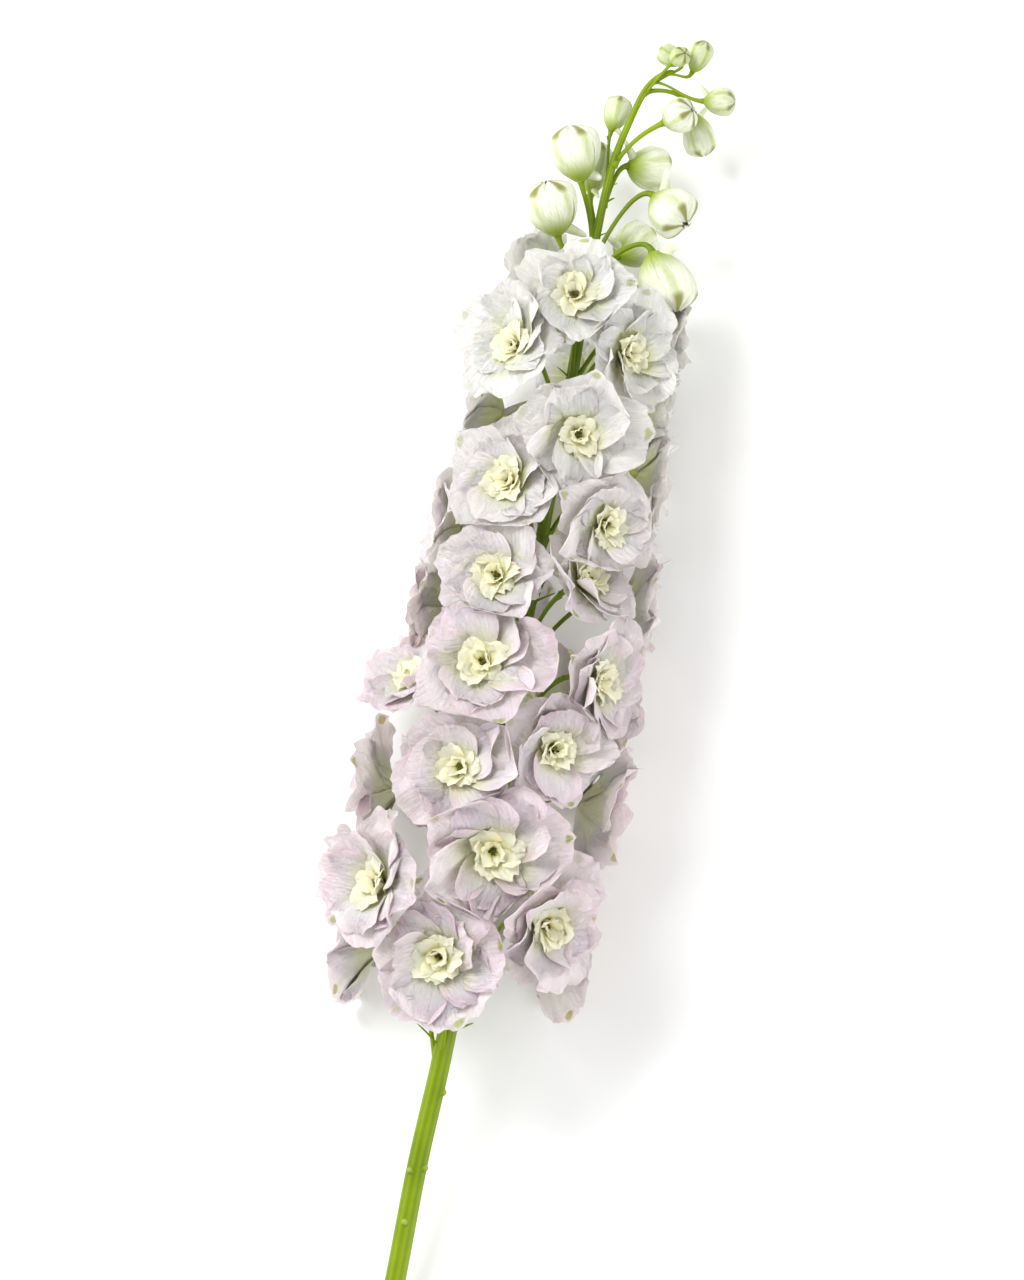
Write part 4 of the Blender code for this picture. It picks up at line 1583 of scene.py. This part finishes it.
    def spur_piece(self, finish: bpy.types.Material) -> None:
        """Build the spur that points back from the uppermost sepal.

        Args:
            finish: The material that dresses the piece.
        """
        skin = Skin(f"floret_{self.number:02d}_spur", self.shift)
        length = self.spur_share * self.row.width
        share = np.linspace(0, 1, self.spur_steps)
        reach = self.spur_start[0] + share * length * self.spur_rise
        fall = self.spur_fall[0] * share + self.spur_fall[1] * share**2
        depth = self.spur_start[1] - length * fall
        path = self.place.point(np.stack((np.zeros(self.spur_steps), reach, depth), -1))
        radii = self.spur_radius * np.interp(share, self.spur_girth_steps, self.spur_girths)
        path = self.place.bent_clear(path, float(radii.max()) * 0.8)
        ring = np.cos(2 * math.pi * np.arange(self.spur_sides) / self.spur_sides)
        along = np.repeat(1 - share * 0.9, self.spur_sides)
        values = {"along": along, "across": np.tile(ring, self.spur_steps)}
        for name, value in (("tint", 0.1), ("seed", 1.0), ("mark", 0.0), ("back", 1.0)):
            values[name] = np.full(len(along), value)
        skin.tube(swept(path, radii, self.spur_sides), values)
        skin.piece(finish)

    def build(self, wardrobe: Wardrobe) -> None:
        """Build every piece of the floret.

        Args:
            wardrobe: The finishes to choose from.
        """
        self.petals_piece("sepals", [Whorl.SEPALS], wardrobe.petal, [f"floret_{self.number:02d}"])
        self.petals_piece("inner_petals", [Whorl.INNER], wardrobe.petal)
        self.petals_piece("eye", [Whorl.EYE, Whorl.HEART], wardrobe.eye)
        self.stamens_piece(wardrobe.stamens)
        self.spur_piece(wardrobe.petal)


# ---- buds ----------------------------------------------------------------------------------


@dataclass
class Bud:
    """One bud: five folded sepals that lap over each other, and a short spur."""

    number: int
    row: BudRow
    place: Place
    shift: Array
    sepals: int = 5
    lap: float = 50.0
    tip_narrowing: float = 0.15
    tip_from: float = 0.72
    lean: float = 0.25
    grid: tuple[int, int] = (18, 13)
    half: float = 0.3
    rim_thinning: float = 0.6
    girth_steps: tuple[float, ...] = (0.0, 0.08, 0.2, 0.35, 0.52, 0.68, 0.82, 0.92, 1.0)
    girths: tuple[float, ...] = (0.16, 0.40, 0.66, 0.85, 0.97, 1.0, 0.93, 0.70, 0.10)
    girth_share: float = 0.96
    flare: float = 0.45
    flare_from: float = 0.7
    young_span: tuple[float, float] = (8.0, 16.0)
    spur_steps: int = 9
    spur_sides: int = 10
    spur_girths: tuple[float, ...] = (0.12, 0.085, 0.05, 0.02)

    def young(self) -> float:
        """How green the bud still is: the smallest buds most."""
        return float(np.interp(self.row.width, self.young_span, (1.0, 0.0)))

    def sepal(self, k: int, u: Array, v: Array, phase: float) -> Array:
        """Points of one sepal's middle surface in the bud's frame.

        Args:
            k: Which sepal.
            u: Along it, from the foot to the tip.
            v: Across it, from -1 to 1.
            phase: The start of its waves.

        Returns:
            The points, with a last axis of three.
        """
        length = math.dist(self.row.tip, self.row.base)
        flare = self.row.opening * self.flare * np.clip(u - self.flare_from, 0, 1)
        girth = np.interp(u, self.girth_steps, self.girths) * self.girth_share + flare
        point = np.clip((u - self.tip_from) / (1 - self.tip_from), 0, 1)
        spread = np.radians(self.lap) * (1 - self.tip_narrowing * point**2)
        angle = 2 * math.pi * k / self.sepals + v * spread + self.lean * u
        fold = 0.045 * np.exp(-((v / 0.2) ** 2)) * np.sin(math.pi * u) - 0.05 * v**2 * u
        lift = 0.05 * v + 0.012 * np.sin(7 * u + phase) * np.abs(v)
        radius = self.row.width / 2 * (girth * (1 + fold + lift) + 0.02)
        parted = 0.03 * self.row.opening * point * math.sin(phase)
        height = length * (u * (1 - 0.10 * v**2 * u) + parted)
        return np.stack((np.sin(angle) * radius, np.cos(angle) * radius, height), -1)

    def build(self, wardrobe: Wardrobe) -> None:
        """Build the bud's sepals and its spur.

        Args:
            wardrobe: The finishes to choose from.
        """
        skin = Skin(f"bud_{self.number:02d}_sepals", self.shift)
        rows, columns = self.grid
        v, u = np.meshgrid(np.linspace(-1, 1, columns), np.linspace(0, 1, rows))
        half = self.half * (1 - self.rim_thinning * np.maximum(np.abs(v), u) ** 3)
        draw = random.Random(500 + self.number)
        for k in range(self.sepals):
            middle = self.place.point(self.sepal(k, u, v, draw.uniform(0, 6)))
            values = {"along": u, "across": v}
            for name, value in (("seed", draw.uniform(0, 10)), ("young", self.young())):
                values[name] = np.full_like(u, value)
            skin.sheet(self.place.bent_clear(middle, self.half), half, values)
        skin.piece(wardrobe.bud, [f"bud_{self.number:02d}"])
        self.spur_piece(wardrobe.bud)

    def spur_piece(self, finish: bpy.types.Material) -> None:
        """Build the short spur at the bud's foot.

        Args:
            finish: The material that dresses the piece.
        """
        size = self.row.width
        share = np.linspace(0, 1, self.spur_steps)
        up = size * (0.16 + 0.42 * share)
        out = size * (0.14 - 0.30 * share)
        path = self.place.point(np.stack((np.zeros(self.spur_steps), up, out), -1))
        radii = size * np.interp(share, (0, 0.5, 0.9, 1), self.spur_girths)
        path = self.place.bent_clear(path, float(radii.max()))
        along = np.repeat(0.35 + 0.2 * share, self.spur_sides)
        one = np.ones_like(along)
        values = {"along": along, "across": one, "seed": one, "young": one * self.young()}
        skin = Skin(f"bud_{self.number:02d}_spur", self.shift)
        skin.tube(swept(path, radii, self.spur_sides), values | {"back": np.zeros_like(along)})
        skin.piece(finish)


# ---- the green parts -----------------------------------------------------------------------


@dataclass
class GreenParts:
    """The stem with its pedicels, bracts and scars, none of them below the surface."""

    layout: Layout
    shift: Array
    floor_level: float = 0.02
    step: float = 2.0
    sides: int = 36
    ribs: int = 9
    rib_depth: float = 0.022
    rib_turn: float = 0.004
    girth_share: float = 0.975
    # Painted shade along the stem: none below the florets, most inside the spike, little at the bent
    # tip.
    shade_span: tuple[float, ...] = (95.0, 130.0, 450.0, 500.0)
    shades: tuple[float, ...] = (0.0, 1.0, 0.8, 0.1)
    # The cut end: how far in from it, the share of the radius there and how pale it is.
    cut_rows: tuple[tuple[float, float, float], ...] = (
        (2.5, 0.42, 1.0), (0.6, 0.5, 1.0), (0.0, 0.62, 1.0), (0.0, 0.93, 0.6),
    )
    scar_sides: int = 12
    # A scar: the share of its height, its radius and how pale it is.
    scar_rows: tuple[tuple[float, float, float], ...] = (
        (0.0, 2.3, 0.0), (0.45, 1.9, 0.0), (0.75, 1.6, 0.0), (0.95, 1.2, 0.2), (1.0, 0.5, 0.3),
    )
    scar_height: float = 1.5
    pedicel_steps: int = 26
    pedicel_sides: int = 10
    pedicel_radius: float = 1.05
    pedicel_end: float = 1.5
    pedicel_share: float = 0.92
    pedicel_foot: float = 1.1
    pedicel_collar: float = 0.5
    slim_share: float = 0.62
    slim_below: float = 13.0
    hub_depth: float = 3.4
    seat_gap: float = 0.3
    bract_lengths: tuple[float, ...] = (16.0, 11.0, 6.0)
    bract_width: float = 1.5
    bractlet_lengths: tuple[float, ...] = (6.5, 3.5)
    bractlet_width: float = 1.1
    leaf_half: float = 0.16
    leaf_bow: float = 0.16
    leaf_level: float = 0.3

    def shade_at(self, along: float) -> float:
        """How much painted shade the stem gets at a height along it: most inside the spike, where
        the florets shade it.
        """
        return float(np.interp(along, self.shade_span, self.shades))

    def stem_piece(self, finish: bpy.types.Material) -> None:
        """Build the main stem, ribbed, with a pale cut end.

        Args:
            finish: The material that dresses the piece.
        """
        heights = np.arange(SPINE_POINTS[0].along, SPINE_POINTS[-1].along + 0.1, self.step)
        angles = 2 * math.pi * np.arange(self.sides) / self.sides
        rows = [(float(heights[0]) + inward, share, pale) for inward, share, pale in self.cut_rows]
        rows += [(float(height), self.girth_share, 0.0) for height in heights]
        rows += [(float(heights[-1]) + 0.5, 0.55, 0.0)]
        rings: list[Array] = []
        values: dict[str, list[Array]] = {"ridge": [], "shade": [], "cut": []}
        for along, share, pale in rows:
            centre, _, radius = SPINE.at(along)
            right, upper = SPINE.sides(along)
            rib = np.cos(self.ribs * angles + self.rib_turn * along)
            girth = radius * share * (1 + self.rib_depth * rib)
            around = np.cos(angles)[:, None] * right + np.sin(angles)[:, None] * upper
            ring = centre + girth[:, None] * around
            ring[:, 2] = np.maximum(ring[:, 2], self.floor_level)
            rings.append(ring[::-1])
            values["ridge"].append((0.5 + 0.5 * rib)[::-1])
            # The painted shade of this ring.
            values["shade"].append(np.full(self.sides, self.shade_at(along)))
            values["cut"].append(np.full(self.sides, pale))
        skin = Skin("stem_axis", self.shift)
        skin.tube(np.array(rings), {name: np.concatenate(value) for name, value in values.items()})
        for along, angle in SCARS:
            self.scar(skin, along, angle)
        skin.piece(finish, ["stem"])

    def scar(self, skin: Skin, along: float, angle: float) -> None:
        """Add a low knob where a leaf or a pedicel came away.

        Args:
            skin: The mesh that it goes into.
            along: Its height along the stem.
            angle: Where it is round the stem, in degrees.
        """
        centre, direction, radius = SPINE.at(along)
        outward = SPINE.out_at(along, angle)
        way = unit(outward + direction * 0.5)
        share, radii, pale = np.array(self.scar_rows).T
        height = radius * 0.5 + self.scar_height
        path = centre + outward * radius * 0.5 + way * (share * height)[:, None]
        rings = swept(path, radii, self.scar_sides)
        rings[..., 2] = np.maximum(rings[..., 2], self.floor_level)
        cut = np.repeat(pale, self.scar_sides)
        ridge = np.full_like(cut, 0.6)
        skin.tube(rings, {"ridge": ridge, "shade": np.zeros_like(cut), "cut": cut})

    def pedicel_path(self, place: Place, seat: Array, steps: int) -> Array:
        """The curve that a pedicel follows from inside the stem to its seat.

        Args:
            place: The flower's place.
            seat: Where the pedicel ends.
            steps: How many points the curve has.

        Returns:
            The points, steps by three.
        """
        start, direction, radius = SPINE.at(place.attach)
        outward = seat - start
        outward = outward - direction * (outward @ direction)
        reach = float(np.linalg.norm(outward))
        outward = outward / reach
        away = start + outward * radius * 0.3
        climb = float((seat - start) @ direction)
        bows = (
            away,
            away + direction * max(6.0, climb * 0.55) + outward * (radius * 0.7 + 0.16 * reach),
            seat - place.out * max(5.0, 0.42 * reach),
            seat,
        )
        t = np.linspace(0, 1, steps)[:, None]
        weights = ((1 - t) ** 3, 3 * t * (1 - t) ** 2, 3 * t**2 * (1 - t), t**3)
        return sum(bow * weight for bow, weight in zip(bows, weights))

    def seats(self) -> list[tuple[Place, Array]]:
        """Every flower's place with the seat of its pedicel.

        Returns:
            The places, each with its seat.
        """
        found = []
        for depth, places in ((self.hub_depth, self.layout.florets), (0.0, self.layout.buds)):
            for place in places:
                found.append((place, place.point(np.array((0.0, 0.0, -depth - self.seat_gap)))))
        return found

    def pedicels_piece(self, finish: bpy.types.Material) -> None:
        """Build all the pedicels, swollen at the stem and under the flower.

        Args:
            finish: The material that dresses the piece.
        """
        skin = Skin("pedicels", self.shift)
        steps, sides = self.pedicel_steps, self.pedicel_sides
        t = np.linspace(0, 1, steps)
        for place, seat in self.seats():
            path = self.pedicel_path(place, seat, steps)
            slim = self.slim_share if place.size < self.slim_below else 1.0
            foot = self.pedicel_foot * np.exp(-t / 0.07)
            radii = slim * (self.pedicel_radius * self.pedicel_share + foot)
            radii = radii + (self.pedicel_end - self.pedicel_radius) * t**3
            radii = radii + self.pedicel_collar * slim * np.exp(-(1 - t) / 0.05)
            # Painted shade on the pedicels: as deep as the stem's where they leave it, fading to
            # about a third towards the flower.
            shade = np.repeat(self.shade_at(place.attach) * np.linspace(1.0, 0.35, steps), sides)
            ridge, cut = np.full_like(shade, 0.7), np.zeros_like(shade)
            values = {"ridge": ridge, "shade": shade, "cut": cut}
            skin.tube(swept(path, radii, sides), values)
        skin.piece(finish)

    def leaflet(
        self, skin: Skin, base: Array, way: Array, side: Array, length: float, width: float
    ) -> None:
        """Add a narrow pointed leaf.

        Args:
            skin: The mesh that it goes into.
            base: Its foot.
            way: The direction it grows in.
            side: The direction across it.
            length: Its length.
            width: Its width.
        """
        v, u = np.meshgrid(np.linspace(-1, 1, 5), np.linspace(0, 1, 10))
        normal = np.cross(way, side)
        half = width / 2 * (1 - u) ** 0.6 * (0.55 + 0.9 * u)
        bow = self.leaf_bow * length * u**2 + 0.25 * half * v**2
        middle = base + way * (length * u)[..., None] + side * (half * v)[..., None]
        middle = middle + normal * bow[..., None]
        middle[..., 2] = np.maximum(middle[..., 2], self.leaf_level)
        # Painted shade: the bracts get about a third of the darker shaded green.
        shade = np.full_like(u, 0.35)
        values = {"ridge": 1 - 0.6 * np.abs(v), "shade": shade, "cut": np.zeros_like(u)}
        skin.sheet(middle, np.full_like(u, self.leaf_half), values)

    def bracts_piece(self, finish: bpy.types.Material) -> None:
        """Build the bract at the foot of each pedicel and the two bractlets near its flower.

        Args:
            finish: The material that dresses the piece.
        """
        skin = Skin("bracts", self.shift)
        draw = random.Random(42)
        for place, seat in self.seats():
            if place.attach >= TIP_ALONG:
                continue
            path = self.pedicel_path(place, seat, 24)
            direction = SPINE.at(place.attach)[1]
            outward = unit(path[6] - path[0])
            side = unit(np.cross(outward, direction))
            grown = float(np.interp(place.attach, (90, 300, 500), self.bract_lengths))
            grown = grown * draw.uniform(0.85, 1.15)
            way = unit(direction * 0.72 + outward * 0.45 + side * 1.3)
            self.leaflet(skin, path[1], way, unit(np.cross(way, outward)), grown, self.bract_width)
            size = float(np.interp(place.attach, (90, 500), self.bractlet_lengths))
            ahead = unit(path[19] - path[16])
            for turn in (-1, 1):
                across = unit(np.cross(ahead, direction + 0.1)) * turn
                way = unit(ahead + across * 0.7)
                flat = unit(np.cross(way, across + ahead * 0.2))
                self.leaflet(skin, path[17 + turn], way, flat, size, self.bractlet_width)
        skin.piece(finish)

    def build(self, wardrobe: Wardrobe) -> None:
        """Build every green part.

        Args:
            wardrobe: The finishes to choose from.
        """
        self.stem_piece(wardrobe.stem)
        self.pedicels_piece(wardrobe.stem)
        self.bracts_piece(wardrobe.stem)


# ---- the studio ----------------------------------------------------------------------------


@dataclass(frozen=True)
class Lamp:
    """A large soft lamp that faces the flowers: where it hangs, how broad and how strong it is."""

    name: str
    place: tuple[float, float, float]
    size: float
    power: float

    def hang(self) -> None:
        """Hang the lamp, turned to the middle of the spike."""
        light = bpy.data.lights.new(self.name, "AREA")
        light.shape = "DISK"
        light.size = self.size
        light.energy = self.power
        made = bpy.data.objects.new(self.name, light)
        made.location = self.place
        aim = np.array(self.place) / np.linalg.norm(self.place)
        made.rotation_euler = (math.acos(aim[2]), 0.0, math.atan2(aim[0], -aim[1]))
        bpy.context.scene.collection.objects.link(made)


@dataclass(frozen=True)
class Studio:
    """The pale floor, the soft lights and the camera straight above."""

    shift: Array
    picture_middle: tuple[float, float] = (-1.5, 286.4)
    picture_height: float = 563.2
    flower_level: float = 45.0
    camera_distance: float = 2600.0
    camera_roll: float = 10.75
    sensor: float = 24.0
    floor_half: float = 3.0
    floor_rise: float = 0.6
    floor_rise_from: float = 0.85
    floor_points: int = 41
    sky: Colour = (1.0, 1.0, 1.0, 1.0)
    sky_strength: float = 0.70
    lamps: tuple[Lamp, ...] = (
        Lamp("key lamp", (-0.9, 0.75, 1.35), 0.8, 21.0),
        Lamp("fill lamp", (1.1, -0.5, 1.2), 1.2, 5.0),
        Lamp("left lamp", (-1.3, 0.1, 0.4), 0.8, 7.0),
        Lamp("right lamp", (1.3, -0.1, 0.4), 0.8, 6.0),
    )

    def floor(self, finish: bpy.types.Material) -> None:
        """Lay the floor, one broad sheet whose far edge rises gently.

        Args:
            finish: The material of the floor.
        """
        count, size = self.floor_points, self.floor_half
        steps = np.linspace(-1, 1, count)
        x, y = np.meshgrid(steps * size, steps * size)
        reach = np.maximum(np.abs(x), np.abs(y)) / size
        far = np.clip(reach - self.floor_rise_from, 0, 1) / (1 - self.floor_rise_from)
        points = np.stack((x, y, self.floor_rise * far**2), -1).reshape(-1, 3)
        quads = grid_quads(np.arange(count * count).reshape(count, count))
        mesh = bpy.data.meshes.new("floor")
        mesh.from_pydata(points.tolist(), [], quads.tolist())
        mesh.shade_smooth()
        mesh.materials.append(finish)
        made = bpy.data.objects.new("floor", mesh)
        bpy.context.scene.collection.objects.link(made)

    def camera(self) -> None:
        """Set the camera over the middle of the picture."""
        lens = bpy.data.cameras.new("camera")
        lens.sensor_fit = "VERTICAL"
        lens.sensor_height = self.sensor
        lens.lens = self.sensor * self.camera_distance / self.picture_height
        made = bpy.data.objects.new("camera", lens)
        across, along = self.picture_middle
        height = self.flower_level + self.camera_distance
        made.location = ((across + self.shift[0]) * MM, (along + self.shift[1]) * MM, height * MM)
        made.rotation_euler = (0.0, 0.0, math.radians(self.camera_roll))
        bpy.context.scene.collection.objects.link(made)
        bpy.context.scene.camera = made

    def light(self) -> None:
        """Fill the studio with soft light."""
        world = bpy.data.worlds.new("studio")
        world.use_nodes = True
        sky = world.node_tree.nodes["Background"]
        sky.inputs["Color"].default_value = self.sky
        sky.inputs["Strength"].default_value = self.sky_strength
        bpy.context.scene.world = world
        for lamp in self.lamps:
            lamp.hang()
        bpy.context.scene.view_settings.view_transform = "Standard"

    def build(self, wardrobe: Wardrobe) -> None:
        """Build the studio.

        Args:
            wardrobe: The finishes to choose from.
        """
        self.camera()
        self.floor(wardrobe.floor)
        self.light()


def main() -> None:
    """Build the studio and every piece of the spike, in order."""
    logging.basicConfig(level=logging.INFO, format="%(message)s")
    wardrobe = Wardrobe.make()
    layout = Layout()
    shift = frame_shift()
    LOG.info("frame shift %s", shift)
    Studio(shift).build(wardrobe)
    GreenParts(layout, shift).build(wardrobe)
    for k, (row, place) in enumerate(zip(FLORET_ROWS, layout.florets)):
        Floret(k + 1, row, place, shift).build(wardrobe)
    for k, (row, place) in enumerate(zip(BUD_ROWS, layout.buds)):
        Bud(k + 1, row, place, shift).build(wardrobe)


if __name__ == "__main__":
    main()
